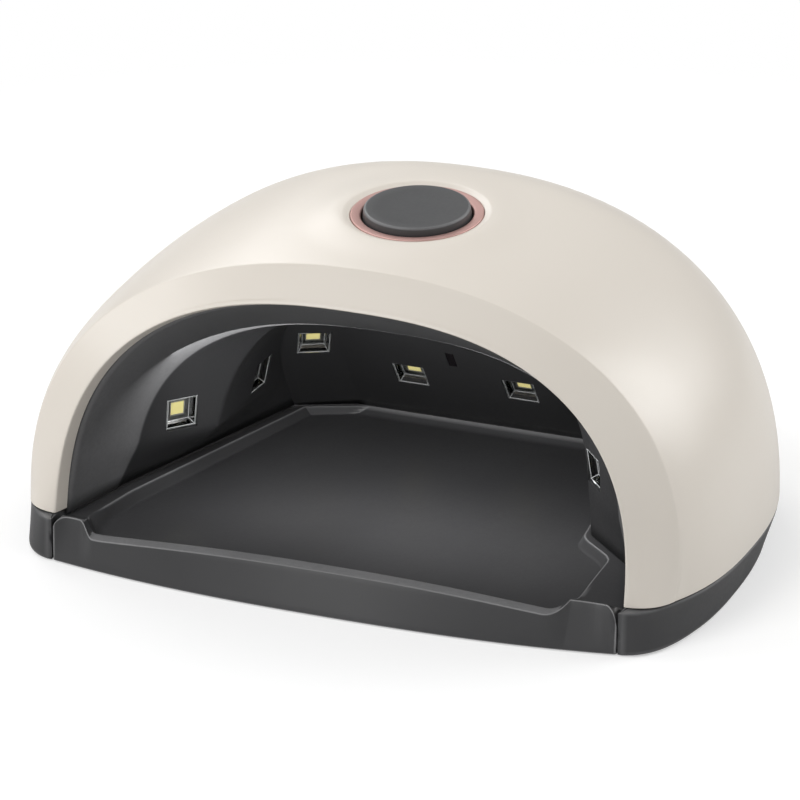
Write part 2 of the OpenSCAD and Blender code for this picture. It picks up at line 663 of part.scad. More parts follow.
module base_ring() {
  low = foot_drop;
  color("#48484a") difference() {
    union() {
      difference() {
        ring_loft([[low, 1.2, ring_draft], [low + 1.4, 0, ring_draft], [base_h - shadow_gap, 0, 0]]);
        translate([0, 0, low + ring_floor]) linear_extrude(base_h) difference() {
          ring_plan(ring_wall + ring_draft + 0.8);
          tray_pocket(pocket_grow + 2);
        }
      }
      translate([0, 0, base_h - 4]) linear_extrude(4) difference() {
        ring_plan(0.9);
        ring_plan(ring_wall + 1.6);
        translate([-body_w, y_gap - 30]) square([2 * body_w, 30 + y_ridge - y_gap + 6]);
      }
      for (p = boss_points) translate([p[0], p[1], low]) cylinder(r = boss_r, h = base_h - low, $fn = 32);
      for (s = [-1, 1]) translate([s * magnet_x, tray_back_y + tray_clear + 0.8, magnet_z])
        rotate([-90, 0, 0]) cylinder(r = magnet_r + 1.4, h = magnet_t + 1.8, $fn = 32);
    }
    translate([0, 0, low - 1]) linear_extrude(base_h * 2) tray_pocket(pocket_grow);
    translate([0, 0, liner_z0]) linear_extrude(base_h) intersection() {
      tray_pocket(liner_flange_w + 1.6);
      translate([-body_w, liner_open_y - 1]) square([2 * body_w, body_d]);
    }
    for (p = boss_points) translate([p[0], p[1], low - 1]) {
      cylinder(r = screw_r + 0.2, h = base_h + 2, $fn = 24);
      cylinder(r = screw_r + 1.4, h = 4, $fn = 24);
    }
    for (p = foot_spots) translate([p[0], p[1], low - 1])
      cylinder(r = foot_r + fit, h = 1 + foot_sink, $fn = 32);
    for (s = [-1, 1]) translate([s * magnet_x, tray_back_y + tray_clear + 1.2, magnet_z])
      rotate([-90, 0, 0]) cylinder(r = magnet_r + fit, h = magnet_t + 4, $fn = 32);
    translate([0, y_back - 12, inlet_z]) rotate([-90, 0, 0])
      cylinder(r = inlet_r + fit, h = 20, $fn = 32);
  }
}

module dc_inlet() {
  face_y = y_back - ring_wall - ring_draft - 1.2;
  color("black") difference() {
    union() {
      translate([-inlet_w / 2, face_y - inlet_l, inlet_z - inlet_h / 2]) cube([inlet_w, inlet_l, inlet_h]);
      translate([0, face_y - 1, inlet_z]) rotate([-90, 0, 0]) cylinder(r = inlet_r, h = 4, $fn = 32);
    }
    translate([0, face_y - inlet_l + 3, inlet_z]) rotate([-90, 0, 0])
      cylinder(r = inlet_bore_r, h = inlet_l + 4, $fn = 32);
  }
  color("silver") translate([0, face_y - inlet_l + 2, inlet_z])
    rotate([-90, 0, 0]) cylinder(r = 1, h = inlet_l - 1, $fn = 24);
}

body_screw_reach = 7;
module body_screws() {
  color("silver") for (p = boss_points) translate([p[0], p[1], foot_drop + 1]) {
    cylinder(r = screw_r + 1.2, h = 2, $fn = 24);
    cylinder(r = screw_r - 0.05, h = base_h - foot_drop + body_screw_reach, $fn = 24);
  }
}

module body_feet() {
  color("#202020") for (p = foot_spots) translate([p[0], p[1], 0])
    cylinder(r = foot_r, h = foot_drop + foot_sink, $fn = 32);
}

module tray_feet() {
  color("#202020") for (p = tray_foot_spots) translate([p[0], p[1], 0])
    cylinder(r = foot_r, h = foot_drop + foot_sink, $fn = 32);
}

module body_magnets() {
  color("silver") for (s = [-1, 1]) translate([s * magnet_x, tray_back_y + tray_clear + 1.2, magnet_z])
    rotate([-90, 0, 0]) cylinder(r = magnet_r, h = magnet_t, $fn = 32);
}

module tray_magnets() {
  color("silver") for (s = [-1, 1]) translate([s * magnet_x, tray_back_y - magnet_t - 0.2, magnet_z])
    rotate([-90, 0, 0]) cylinder(r = magnet_r, h = magnet_t, $fn = 32);
}

// Tray: rows across the width, from the bowed foot of its front to its rear edge.
tray_line = foot_line(1);
function tray_hw(y) = y < liner_open_y ? gap_hw - tray_clear : lookup(y, tray_half_widths);
tray_half_widths = [for (i = [len(tray_line) - 1:-1:1])
  [tray_line[i][1], min(tray_line[i][0], gap_hw - tray_clear)]];
bead_w = 4.4;
lip_z = 9.4;
lip_arch = 2.4;
lip_set = 3.6;
lip_set_mid = 2.6;
lip_width = 2.4;
bow_power = 2.5;
shoulder_w = 8;
shoulder_run = 5.5;
tray_rear_y = tray_line[1][1];
tray_corner_y = tray_line[2][1];
function bow(u) = 1 - pow(abs(u), bow_power);
function floor_z(y) = between(floor_front_z, floor_back_z, clamp((y - y_gap) / (y_rear - y_gap), 0, 1));

// Height of the tray's top for a distance d from its side and a share u of its half width.
function rail_share(d) = 1 - ease((d - rail_w * 0.35) / (rail_w * 0.65));
function shoulder_share(d) = 1 - ease((d - shoulder_w) / shoulder_run);
function bead_share(y) = 1 - ease((tray_rear_y - y - 0.9) / (bead_w - 0.9));
function edge_round(d, r) = d < r ? r - sqrt(max(r * r - (r - d) * (r - d), 0)) : 0;
tray_cols = [0, 0.35, 1, 2.4, 4, 5.5, 7, 8, 9.2, 10.4, 11.6, 12.8, 14];
tray_mid = 7;
tray_edge = tray_cols[len(tray_cols) - 1];

// The right rail widens where the foot of the right wall stands further in.
function wall_in(y) = lookup(y, [[y_mouth, 0], [y_inner, inner_flare - right_flare], [tray_corner_y, 0]]);
function widen(y, d, hw) = wall_in(y) * min(d / 4, 1) * (1 - clamp((d - tray_edge) / (hw - tray_edge), 0, 1));
tray_rows_y = [y_gap + 5, y_gap + 8, liner_open_y + 0.5, liner_open_y + 3,
  for (t = [0.35, 0.68]) between(liner_open_y, y_mouth, t),
  y_mouth - 3, y_mouth + 0.2, between(y_mouth, y_inner, 0.52), y_inner - 2, y_inner + 0.2,
  for (t = [0.19, 0.44, 0.69, 0.87]) between(y_inner, tray_corner_y, t), tray_corner_y - 2.4,
  tray_corner_y, tray_corner_y + 2.4, for (e = [5.2, 4.2, 3.2, 2.2, 1.4, 0.6, 0.15, 0]) tray_rear_y - e];
function tray_ds(hw) = [each tray_cols, for (i = [1:tray_mid]) tray_edge + (hw - tray_edge) * i / tray_mid];
function rail_top(y) = rail_z + (shoulder_z - rail_z) * (1 - ease((y - y_gap - 4.5) / 4));
function top_z(y, d, u, front) =
  let (lip = lip_z + lip_arch * bow(u), base = front == 1 ? lip - 0.25 : front == 2 ? lip : floor_z(y),
       open = y < liner_open_y - 0.5,
       side = open ? shoulder_share(d) : max(rail_share(d), bead_share(y)))
  between(base, rail_top(y), side) - (open ? 1 : 0.3) * edge_round(d, 2.4) - edge_round(tray_rear_y - y, 0.6);
function tray_row(y) = let (hw = tray_hw(y), ds = tray_ds(hw))
  [for (i = [0:len(ds) - 1]) let (d = ds[i]) [hw - d - widen(y, d, hw), d, 1 - d / hw],
   for (i = [len(ds) - 2:-1:0]) let (d = ds[i]) [d - hw, d, 1 - d / hw]];
tray_n = 2 * (len(tray_cols) + tray_mid) - 1;
function front_row(kind) = [for (t = tray_row(y_gap)) let (u = abs(t[2]), b = bow(u),
    y = y_gap - tray_bow * b + (kind == 0 ? 0 : kind == 1 ? lip_set * min(1, t[1] / 10) + lip_set_mid * b
      : lip_set * min(1, t[1] / 10) + lip_set_mid * b + lip_width))
  [t[0], y, kind == 0 ? foot_drop : top_z(y_gap, t[1], u, kind)]];
function floor_row(y) = [for (t = tray_row(y)) [t[0], y, top_z(y, t[1], t[2], 0)]];
tray_rows = [front_row(0), front_row(1), front_row(2), for (y = tray_rows_y) floor_row(y)];

module tray_solid() {
  top = [for (r = tray_rows) each r];
  m = len(tray_rows);
  n = tray_n;
  under = [for (r = [1:m - 1], i = [0:n - 1]) let (p = top[r * n + i]) [p[0], p[1], foot_drop]];
  base = m * n;
  polyhedron([each top, each under], [
    each grid_faces(m, n, 0, false),
    each grid_faces(m - 1, n, base, true),
    each strip_faces([for (i = [0:n - 1]) i], [for (i = [0:n - 1]) base + i], true),
    each strip_faces([for (i = [0:n - 1]) (m - 1) * n + i],
      [for (i = [0:n - 1]) base + (m - 2) * n + i], false),
    each strip_faces([for (r = [1:m - 1]) r * n], [for (r = [0:m - 2]) base + r * n], false),
    each strip_faces([for (r = [1:m - 1]) r * n + n - 1], [for (r = [0:m - 2]) base + r * n + n - 1], true),
    [0, n, base], [n - 1, base + n - 1, 2 * n - 1]]);
}

// Shallow hollow of the tray's underside, with ribs and with bosses for the feet and magnets.
under_rim = 3;
under_rib_t = 1.6;
magnet_wall = 2;
magnet_land = 8;
module tray_underside() {
  translate([0, 0, foot_drop - 1]) linear_extrude(floor_front_z - tray_wall - foot_drop + 1) difference() {
    plan_shape(1 - under_rim, y_gap + under_rim);
    for (x = [-1.5:1:1.5]) translate([x * magnet_x - under_rib_t / 2, y_gap]) square([under_rib_t, body_d]);
    for (y = [y_mouth, between(y_inner, y_rear, 0.2), between(y_inner, y_rear, 0.6)])
      translate([-body_w / 2, y]) square([body_w, under_rib_t]);
    for (p = tray_foot_spots) translate(p) circle(r = foot_r + 2, $fn = 32);
    for (s = [-1, 1]) translate([s * magnet_x - magnet_r - magnet_wall, tray_back_y - magnet_land])
      square([2 * (magnet_r + magnet_wall), magnet_land]);
  }
}

module base_tray() {
  color("#4a4a4c") difference() {
    tray_solid();
    tray_underside();
    for (p = tray_foot_spots) translate([p[0], p[1], foot_drop - 1])
      cylinder(r = foot_r + fit, h = 1 + foot_sink, $fn = 32);
    for (s = [-1, 1]) translate([s * magnet_x, tray_back_y - magnet_t - 0.2, magnet_z])
      rotate([-90, 0, 0]) cylinder(r = magnet_r + fit, h = magnet_t + 4, $fn = 32);
  }
}

top_shell();
inner_liner();
base_ring();
base_tray();
power_button();
button_trim_ring();
switch_plunger();
switch_body();
control_board();
control_chip();
capacitor();
lens(0, -1);  // lens_left_front
lens(1, -1);  // lens_left_side
lens(2, -1);  // lens_left_corner
lens(3, -1);  // lens_left_rear
lens(3, 1);  // lens_right_rear
lens(2, 1);  // lens_right_corner
lens(1, 1);  // lens_right_side
lens(0, 1);  // lens_right_front
led(0, -1);  // led_left_front
led(1, -1);  // led_left_side
led(2, -1);  // led_left_corner
led(3, -1);  // led_left_rear
led(3, 1);  // led_right_rear
led(2, 1);  // led_right_corner
led(1, 1);  // led_right_side
led(0, 1);  // led_right_front
lamp_board(0, -1);  // board_left_front
lamp_board(1, -1);  // board_left_side
lamp_board(2, -1);  // board_left_corner
board_rear();
lamp_board(2, 1);  // board_right_corner
lamp_board(1, 1);  // board_right_side
lamp_board(0, 1);  // board_right_front
sensor_window();
hand_sensor();
dc_inlet();
body_screws();
board_screws();
body_feet();
tray_feet();
tray_magnets();
body_magnets();
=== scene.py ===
import math

import bmesh
import bpy
from mathutils import Matrix, Vector


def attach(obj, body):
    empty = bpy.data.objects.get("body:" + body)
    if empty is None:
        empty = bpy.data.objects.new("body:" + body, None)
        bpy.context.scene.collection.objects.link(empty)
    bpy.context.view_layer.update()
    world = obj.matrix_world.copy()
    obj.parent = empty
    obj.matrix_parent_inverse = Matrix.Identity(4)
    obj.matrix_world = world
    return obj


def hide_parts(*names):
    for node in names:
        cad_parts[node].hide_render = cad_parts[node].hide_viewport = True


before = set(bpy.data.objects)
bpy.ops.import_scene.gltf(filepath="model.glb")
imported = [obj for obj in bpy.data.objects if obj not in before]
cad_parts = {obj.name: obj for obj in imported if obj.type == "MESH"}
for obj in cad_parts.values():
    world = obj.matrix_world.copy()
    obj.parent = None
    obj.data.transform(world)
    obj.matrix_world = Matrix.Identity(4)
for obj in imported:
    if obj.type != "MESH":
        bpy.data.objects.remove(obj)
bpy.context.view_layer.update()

# Sizes of the lamp in millimetres, as its solids have them; y runs from the front to the back.
MM = 0.001
# Base and shell
BASE_H = 14.0
FOOT_DROP = 0.4
Y_BACK = 85.0
Y_GAP = -77.5
Y_OPEN = -73.5
Y_RIDGE = -64.0
HALF_W = 111.0
WIDEST_Y = -20.0
CROWN_Y = 22.0
DOME_H = 88.0
CROWN_DROP = 7.0
FRONT_LEAN = 0.17
FOOT_FRONT_REACH = 85.7
# Powers of the arches and of the foot line: 2 is an ellipse, and more is squarer.
ARCH_ROUND = 2.26
OPEN_ROUND = 2.5
CAVITY_ROUND = 2.6
FOOT_FRONT_ROUND = 2.6
FOOT_BACK_ROUND = 2.4
CROWN_BACK_ROUND = 1.98
# Powers by which the crown drops and the arches lose their lean.
CROWN_DROP_POWER = 1.6
LEAN_POWER = 1.5
# Opening and its lip
OPEN_HW = 90.5
OPEN_H = 73.5
LIP_WALL = 1.5
LIP_DEPTH = 5.0
GAP_HW = 90.2
# Cavity: half widths, depths, slopes and the flares of its foot
LINER_Z = 12.2
CEILING_Z = 70.6
MOUTH_HW, Y_MOUTH = 78.0, -44.52
INNER_HW, Y_INNER = 60.5, -24.222
REAR_HW, Y_REAR = 59.0, 44.03
REAR_FLAT_HW = 40.0
REAR_LEAN = 0.7
CORNER_SLOPE = 0.45
MOUTH_LEAN = 0.207
MOUTH_FLARE = 5.0
LEFT_FLARE = 16.4
RIGHT_FLARE = 1.5


def ease(t):
    """Smooth step from 0 to 1."""
    t = min(max(t, 0.0), 1.0)
    return t * t * (3 - 2 * t)


def mix(a, b, t):
    return a + (b - a) * t


def signed_power(value, power):
    return math.copysign(abs(value) ** power, value)


def outline_half_width(y):
    """Half width of the shell's foot line at a depth y."""
    u = y - WIDEST_Y
    if u < 0:
        power, reach = FOOT_FRONT_ROUND, FOOT_FRONT_REACH
    else:
        power, reach = FOOT_BACK_ROUND, Y_BACK - WIDEST_Y
    return HALF_W * max(1 - min(abs(u) / reach, 1.0) ** power, 0.0) ** (1 / power)


def crown_height(y):
    """Height of the shell's middle line above its foot line."""
    u = y - CROWN_Y
    if u < 0:
        return DOME_H - CROWN_DROP * (abs(u) / (CROWN_Y - Y_RIDGE)) ** CROWN_DROP_POWER
    share = max(1 - min(u / (Y_BACK - CROWN_Y), 1.0) ** CROWN_BACK_ROUND, 0.0)
    return DOME_H * share ** (1 / CROWN_BACK_ROUND)


def arch_point(half_width, height, power, y, lean, foot, angle):
    """A point on an arch across the body, from the left foot at angle 0 to the right foot at pi."""
    rise = height * abs(math.sin(angle)) ** (2 / power)
    across = -signed_power(math.cos(angle), 2 / power) * half_width
    return Vector((across, y + lean * rise, foot + rise))


def dome_point(across, back):
    """A point of the dome from its place in a half disc: across from -1 to 1, back from 0 to 1."""
    reach = math.sqrt(max(1 - back * back, 0.0))
    if reach < 1e-6:
        return Vector((0, Y_BACK, BASE_H))
    cosine = min(max(-across / reach, -1.0), 1.0)
    side = -signed_power(cosine, 2 / ARCH_ROUND)
    rise = math.sqrt(1 - cosine * cosine) ** (2 / ARCH_ROUND)
    lean = FRONT_LEAN * (1 - math.asin(min(back, 1.0)) / (math.pi / 2)) ** LEAN_POWER
    start = mix(Y_RIDGE, Y_BACK, back)
    y = start
    for _ in range(3):
        y = start + lean * crown_height(y) * rise
    return Vector((outline_half_width(y) * side, y, BASE_H + crown_height(y) * rise))


def rounded_line(corners, soft, parts, arc=4):
    """Points along a line through corners, each inner corner rounded within its soft length."""
    points = [corners[0].copy()]
    last = corners[0]
    for k in range(1, len(corners) - 1):
        before, corner, after = corners[k - 1 : k + 2]
        cut = min(soft[k - 1], 0.45 * (corner - before).length, 0.45 * (after - corner).length)
        start = corner + (before - corner).normalized() * cut
        end = corner + (after - corner).normalized() * cut
        points += [last.lerp(start, i / parts[k - 1]) for i in range(1, parts[k - 1] + 1)]
        for i in range(1, arc + 1):
            t = i / arc
            points.append(start.lerp(corner, t).lerp(corner.lerp(end, t), t))
        last = end
    return points + [last.lerp(corners[-1], i / parts[-1]) for i in range(1, parts[-1] + 1)]


def sheet_through(lines):
    """A grid of faces whose columns run through the given lines of points."""
    columns, rows = len(lines) - 1, len(lines[0]) - 1
    bm = bmesh.new()
    bmesh.ops.create_grid(bm, x_segments=columns, y_segments=rows, size=0.5)
    for v in bm.verts:
        line = lines[round((v.co.x + 0.5) * columns)]
        v.co = line[round((v.co.y + 0.5) * rows)] * MM
    bmesh.ops.remove_doubles(bm, verts=bm.verts, dist=2e-6)
    return bm


def mark_highlight_edges(bm, low=5.0, high=16.0):
    """Gives each point a share of painted edge highlight, from how much the surface bends outward
    there.
    """
    layer = bm.verts.layers.float.new("edge")
    for v in bm.verts:
        bend = max((e.calc_face_angle_signed(0.0) for e in v.link_edges if e.is_manifold), default=0.0)
        v[layer] = min(max((math.degrees(bend) - low) / (high - low), 0.0), 1.0)


def extruded(bm, edges):
    """Extrudes open edges by one row, and gives the new corner points."""
    made = bmesh.ops.extrude_edge_only(bm, edges=edges)["geom"]
    return {item for item in made if isinstance(item, bmesh.types.BMVert)}


def object_from(name, bm):
    """An object in the scene, made from a mesh under construction, which it uses up."""
    mesh = bpy.data.meshes.new(name)
    bm.to_mesh(mesh)
    bm.free()
    thing = bpy.data.objects.new(name, mesh)
    bpy.context.scene.collection.objects.link(thing)
    return thing


def make_piece(name, bm, finish, replaced, body, crease=32.0):
    """Turns a mesh into a piece with its materials, its body and the nodes it stands for."""
    piece = object_from(name, bm)
    mesh = piece.data
    mesh.polygons.foreach_set("use_smooth", [True] * len(mesh.polygons))
    mesh.set_sharp_from_angle(angle=math.radians(crease))
    for material in finish[1:]:
        mesh.materials.append(material)
    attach(piece, body)
    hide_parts(*replaced)
    return piece


def add_wall(piece, thickness):
    """Gives a skin its wall on the side away from its faces."""
    wall = piece.modifiers.new("wall", "SOLIDIFY")
    wall.thickness = thickness * MM
    wall.offset = -1
    wall.use_even_offset = True


def soften(piece, width, angle=35.0):
    """Rounds the sharp edges of a piece a little, as a mould does."""
    edge = piece.modifiers.new("soft edges", "BEVEL")
    edge.width = width * MM
    edge.segments = 2
    edge.limit_method = "ANGLE"
    edge.angle_limit = math.radians(angle)
    edge.harden_normals = True
    return edge


# Button frame: its origin is on the shell's surface and its axis is square to the surface.
BUTTON_Y = -8.5
BUTTON_TILT = math.atan((crown_height(BUTTON_Y + 1) - crown_height(BUTTON_Y - 1)) / 2)
button_place = Matrix.Translation((0, BUTTON_Y, BASE_H + crown_height(BUTTON_Y))) @ Matrix.Rotation(
    BUTTON_TILT, 4, "X"
)
button_inverse = button_place.inverted()

# ---- materials ----


def feed(tree, value, socket):
    """Links an output to an input, or sets the input to a number or a colour."""
    if hasattr(value, "is_linked"):
        tree.links.new(value, socket)
    elif isinstance(value, tuple):
        socket.default_value = (*value, 1)
    else:
        socket.default_value = value


def feed_named(tree, node, inputs):
    """Feeds the inputs of a node by name, with underscores for spaces."""
    for name, value in inputs.items():
        feed(tree, value, node.inputs[name.replace("_", " ")])


def add_node(tree, kind, *values, **named):
    """A node with values for its first inputs; capitals name further inputs, small letters settings."""
    node = tree.nodes.new(kind)
    for name, value in named.items():
        if name[0].islower():
            setattr(node, name, value)
    for value, socket in zip(values, node.inputs):
        feed(tree, value, socket)
    feed_named(tree, node, {name: value for name, value in named.items() if name[0].isupper()})
    return node


def object_place(tree):
    return add_node(tree, "ShaderNodeTexCoord").outputs["Object"]


def noise(tree, vector, scale, detail, roughness=0.5):
    """A noise texture on a vector; scale is a number or a socket."""
    node = add_node(tree, "ShaderNodeTexNoise", Vector=vector, Scale=scale, Detail=detail,
                    Roughness=roughness)
    return node.outputs["Fac"]


def arithmetic(tree, operation, first, second):
    """A Math node on sockets or numbers."""
    return add_node(tree, "ShaderNodeMath", first, second, operation=operation).outputs[0]


def remap(tree, value, low, high, out_low, out_high):
    return add_node(tree, "ShaderNodeMapRange", value, low, high, out_low, out_high).outputs[0]


def colour_between(tree, mask, first, second):
    node = add_node(tree, "ShaderNodeMix", mask, data_type="RGBA")
    feed(tree, first, node.inputs[6])
    feed(tree, second, node.inputs[7])
    return node.outputs[2]


def new_group(name, inputs, outputs):
    """An empty shader group: inputs with their numbers, or None for a vector, and number outputs."""
    group = bpy.data.node_groups.new(name, "ShaderNodeTree")
    for label, value in inputs.items():
        kind = "NodeSocketVector" if value is None else "NodeSocketFloat"
        socket = group.interface.new_socket(label, in_out="INPUT", socket_type=kind)
        if value is not None:
            socket.default_value = value
    for label in outputs:
        group.interface.new_socket(label, in_out="OUTPUT", socket_type="NodeSocketFloat")
    return group, group.nodes.new("NodeGroupInput").outputs, group.nodes.new("NodeGroupOutput").inputs


# Noise scales of a moulded surface, per metre.
FLOW_SCALE, TINT_SCALE, SMUDGE_SCALE, SPECK_SCALE = 46.0, 11.0, 27.0, 900.0


def moulded_surface_group():
    """Fine spark-eroded grain, slow flow of the moulding and faint handling marks."""
    group, given, result = new_group(
        "moulded surface", {"Grain Scale": 2600.0, "Grain": 0.6, "Flow": 0.4},
        ("Height", "Tint", "Marks"),
    )
    place = object_place(group)
    grain = noise(group, place, given["Grain Scale"], 2.0, 0.6)
    grain_part = arithmetic(group, "MULTIPLY", grain, given["Grain"])
    flow_part = arithmetic(group, "MULTIPLY", noise(group, place, FLOW_SCALE, 2.0), given["Flow"])
    feed(group, arithmetic(group, "ADD", grain_part, flow_part), result["Height"])
    feed(group, noise(group, place, TINT_SCALE, 3.0), result["Tint"])
    smudge = noise(group, place, SMUDGE_SCALE, 5.0, 0.62)
    speck = arithmetic(group, "ADD", noise(group, place, SPECK_SCALE, 2.0, 0.7), 0.5)
    feed(group, arithmetic(group, "MULTIPLY", smudge, speck), result["Marks"])
    return group


def turned_metal_group():
    """Fine concentric lines of a turned and anodised ring, round the z axis of its vector."""
    group, given, result = new_group(
        "turned metal", {"Line Scale": 9000.0, "Vector": None}, ("Height", "Shift")
    )
    x, y, _ = add_node(group, "ShaderNodeSeparateXYZ", given["Vector"]).outputs
    across = arithmetic(group, "MULTIPLY", x, x)
    along_y = arithmetic(group, "MULTIPLY", y, y)
    radius = arithmetic(group, "SQRT", arithmetic(group, "ADD", across, along_y), 0.0)
    lines = arithmetic(group, "MULTIPLY", radius, given["Line Scale"])
    turn = arithmetic(group, "MULTIPLY", arithmetic(group, "ARCTAN2", y, x), 3.0)
    polar = add_node(group, "ShaderNodeCombineXYZ", lines, turn).outputs[0]
    feed(group, noise(group, polar, 1.0, 3.0, 0.7), result["Height"])
    feed(group, noise(group, polar, 0.12, 2.0), result["Shift"])
    return group


def painted_light_group():
    """How much painted light a place gets, from a piece's edge attribute and the marks on it: a painted
    highlight on bent edges, and painted light on the liner's reveal.
    """
    group, given, result = new_group("painted light", {"Marks": 0.5}, ("Painted Light",))
    edge = add_node(group, "ShaderNodeAttribute", attribute_name="edge").outputs["Fac"]
    uneven = remap(group, given["Marks"], 0.1, 0.6, 0.6, 1.0)
    feed(group, arithmetic(group, "MULTIPLY", edge, uneven), result["Painted Light"])
    return group


MOULDED = moulded_surface_group()
TURNED = turned_metal_group()
# Painted highlights on bent edges, and painted light on the liner's reveal.
PAINTED_LIGHT = painted_light_group()


def new_material(name, **plain):
    """A material, its tree and its shader, with constants on the shader's own inputs."""
    material = bpy.data.materials.new(name)
    material.use_nodes = True
    tree = material.node_tree
    shader = tree.nodes["Principled BSDF"]
    feed_named(tree, shader, plain)
    return material, tree, shader


def dress(tree, shader, colour, rough, height, strength, depth):
    """Feeds what every surface has: its colour, its roughness and its raised grain."""
    bump = add_node(tree, "ShaderNodeBump", Strength=strength, Distance=depth, Height=height)
    inputs = {"Base Color": colour, "Roughness": rough, "Normal": bump.outputs["Normal"]}
    feed_named(tree, shader, inputs)


def moulded(name, first, second, rough, grain_scale=2600.0, grain=0.6, flow=0.4, depth=0.00004,
            painted_light=None, **plain):
    """A moulded plastic or rubber: two close colours, a range of roughness and a bump.

    With a colour of painted light, the places that the piece's edge attribute marks are painted
    lighter: painted highlights on bent edges, and painted light on the liner's reveal.
    """
    material, tree, shader = new_material(name, **plain)
    surface = add_node(
        tree, "ShaderNodeGroup", node_tree=MOULDED, Grain_Scale=grain_scale, Grain=grain, Flow=flow)
    marks = surface.outputs["Marks"]
    tint = remap(tree, surface.outputs["Tint"], 0.35, 0.65, 0.0, 1.0)
    colour = colour_between(tree, tint, first, second)
    # Paints light onto the marked places: painted highlights on edges, painted light on the liner's
    # reveal.
    if painted_light:
        edge = add_node(tree, "ShaderNodeGroup", node_tree=PAINTED_LIGHT, Marks=marks)
        colour = colour_between(tree, edge.outputs["Painted Light"], colour, painted_light)
    dress(tree, shader, colour, remap(tree, marks, 0.25, 0.75, *rough), surface.outputs["Height"], 0.35,
          depth)
    return material


def metal(name, first, second, rough, centre=None):
    """A plain plated metal, or one turned round a centre."""
    material, tree, shader = new_material(name, Metallic=1.0)
    surface = add_node(tree, "ShaderNodeGroup", node_tree=TURNED if centre else MOULDED)
    if centre:
        turn = add_node(tree, "ShaderNodeMapping", object_place(tree), vector_type="TEXTURE",
                        Location=centre.translation * MM, Rotation=centre.to_euler())
        feed(tree, turn.outputs["Vector"], surface.inputs["Vector"])
    height, shift = surface.outputs["Height"], surface.outputs["Shift" if centre else "Marks"]
    colour = colour_between(tree, shift, first, second)
    dress(tree, shader, colour, remap(tree, height, 0.3, 0.7, *rough), height, 0.25, 0.00002)
    return material


TRACK_SCALE = 420.0


def circuit_board(name, first, second):
    """Solder mask over copper tracks: a fine step pattern raises the tracks a little."""
    material, tree, shader = new_material(name)
    cells = add_node(tree, "ShaderNodeTexVoronoi", distance="MANHATTAN", feature="F1",
                     Scale=TRACK_SCALE, Vector=object_place(tree))
    track = remap(tree, cells.outputs["Distance"], 0.42, 0.46, 0.0, 1.0)
    colour = colour_between(tree, track, first, second)
    dress(tree, shader, colour, remap(tree, track, 0.0, 1.0, 0.32, 0.42), track, 0.4, 0.00003)
    return material


def grained(name, scale, detail, uneven, colours, rough, strength, depth, glow=None, **plain):
    """A material whose colour, roughness and bump follow one noise; it may glow in its own colour, as
    painted light.
    """
    material, tree, shader = new_material(name, **plain)
    grain = noise(tree, object_place(tree), scale, detail, uneven)
    colour = colour_between(tree, grain, *colours)
    dress(tree, shader, colour, remap(tree, grain, 0.3, 0.7, *rough), grain, strength, depth)
    if glow:
        feed_named(tree, shader, {"Emission Color": colour, "Emission Strength": glow})
    return material


# Each finish is the name of its slot, then the materials of the piece in the order of their use.
CREAM = ("shell_cream", moulded(
    "cream shell", (0.745, 0.690, 0.617), (0.765, 0.712, 0.640), (0.30, 0.42),
    grain_scale=3200.0, grain=0.35, flow=0.5, depth=0.00003, Coat_Weight=0.2, Coat_Roughness=0.22))
# The liner's lighter colour is painted light on its reveal.
LINER = ("liner_charcoal", moulded(
    "charcoal liner", (0.024, 0.024, 0.025), (0.030, 0.030, 0.031), (0.38, 0.50),
    grain_scale=2400.0, grain=0.7, flow=0.3, depth=0.00005, painted_light=(0.15, 0.15, 0.153)))
# The lighter colours of the ring, the tray and the button are painted highlights on their bent edges.
RING = ("base_grey", moulded(
    "dark grey base", (0.036, 0.036, 0.038), (0.046, 0.046, 0.048), (0.42, 0.55),
    grain_scale=2400.0, grain=0.8, flow=0.3, depth=0.00005, painted_light=(0.13, 0.13, 0.133)))
TRAY = ("tray_grey", moulded(
    "dark grey tray", (0.046, 0.046, 0.048), (0.057, 0.057, 0.059), (0.34, 0.46),
    grain_scale=2200.0, grain=0.8, flow=0.35, depth=0.00005, painted_light=(0.23, 0.23, 0.234)))
BUTTON = ("button_grey", moulded(
    "grey button", (0.043, 0.044, 0.046), (0.051, 0.052, 0.054), (0.38, 0.50),
    grain_scale=3000.0, grain=0.6, flow=0.3, depth=0.00003, painted_light=(0.16, 0.16, 0.164)))
ROSE = ("rose_metal", metal(
    "rose ring", (0.58, 0.37, 0.34), (0.66, 0.44, 0.405), (0.5, 0.62), button_place))
SWITCH = ("switch_white", moulded("switch white", (0.72, 0.72, 0.70), (0.78, 0.78, 0.76), (0.35, 0.5)))
BLACK = ("component_black", moulded(
    "component black", (0.016, 0.016, 0.017), (0.026, 0.026, 0.027), (0.42, 0.6),
    grain_scale=1800.0, grain=0.8, flow=0.2, depth=0.00005))
SLEEVE = ("capacitor_sleeve", moulded(
    "capacitor sleeve", (0.02, 0.035, 0.06), (0.03, 0.05, 0.08), (0.25, 0.4)))
WINDOW = ("window_dark", moulded(
    "sensor window", (0.006, 0.005, 0.006), (0.010, 0.008, 0.009), (0.12, 0.2),
    grain_scale=900.0, grain=0.1, flow=0.3, depth=0.00002))
STEEL = ("screw_steel", metal("screw steel", (0.52, 0.53, 0.54), (0.60, 0.60, 0.61), (0.25, 0.42)))
NICKEL = ("magnet_nickel", metal("magnet nickel", (0.62, 0.60, 0.57), (0.70, 0.68, 0.64), (0.15, 0.3)))
RUBBER = ("foot_rubber", moulded(
    "foot rubber", (0.014, 0.014, 0.014), (0.024, 0.024, 0.024), (0.7, 0.9),
    grain_scale=1500.0, grain=1.0, flow=0.2, depth=0.0001))
GREEN = ("board_green", circuit_board("green board", (0.012, 0.10, 0.035), (0.020, 0.15, 0.050)))
WHITE = ("board_white", circuit_board("white board", (0.30, 0.305, 0.30), (0.42, 0.42, 0.415)))
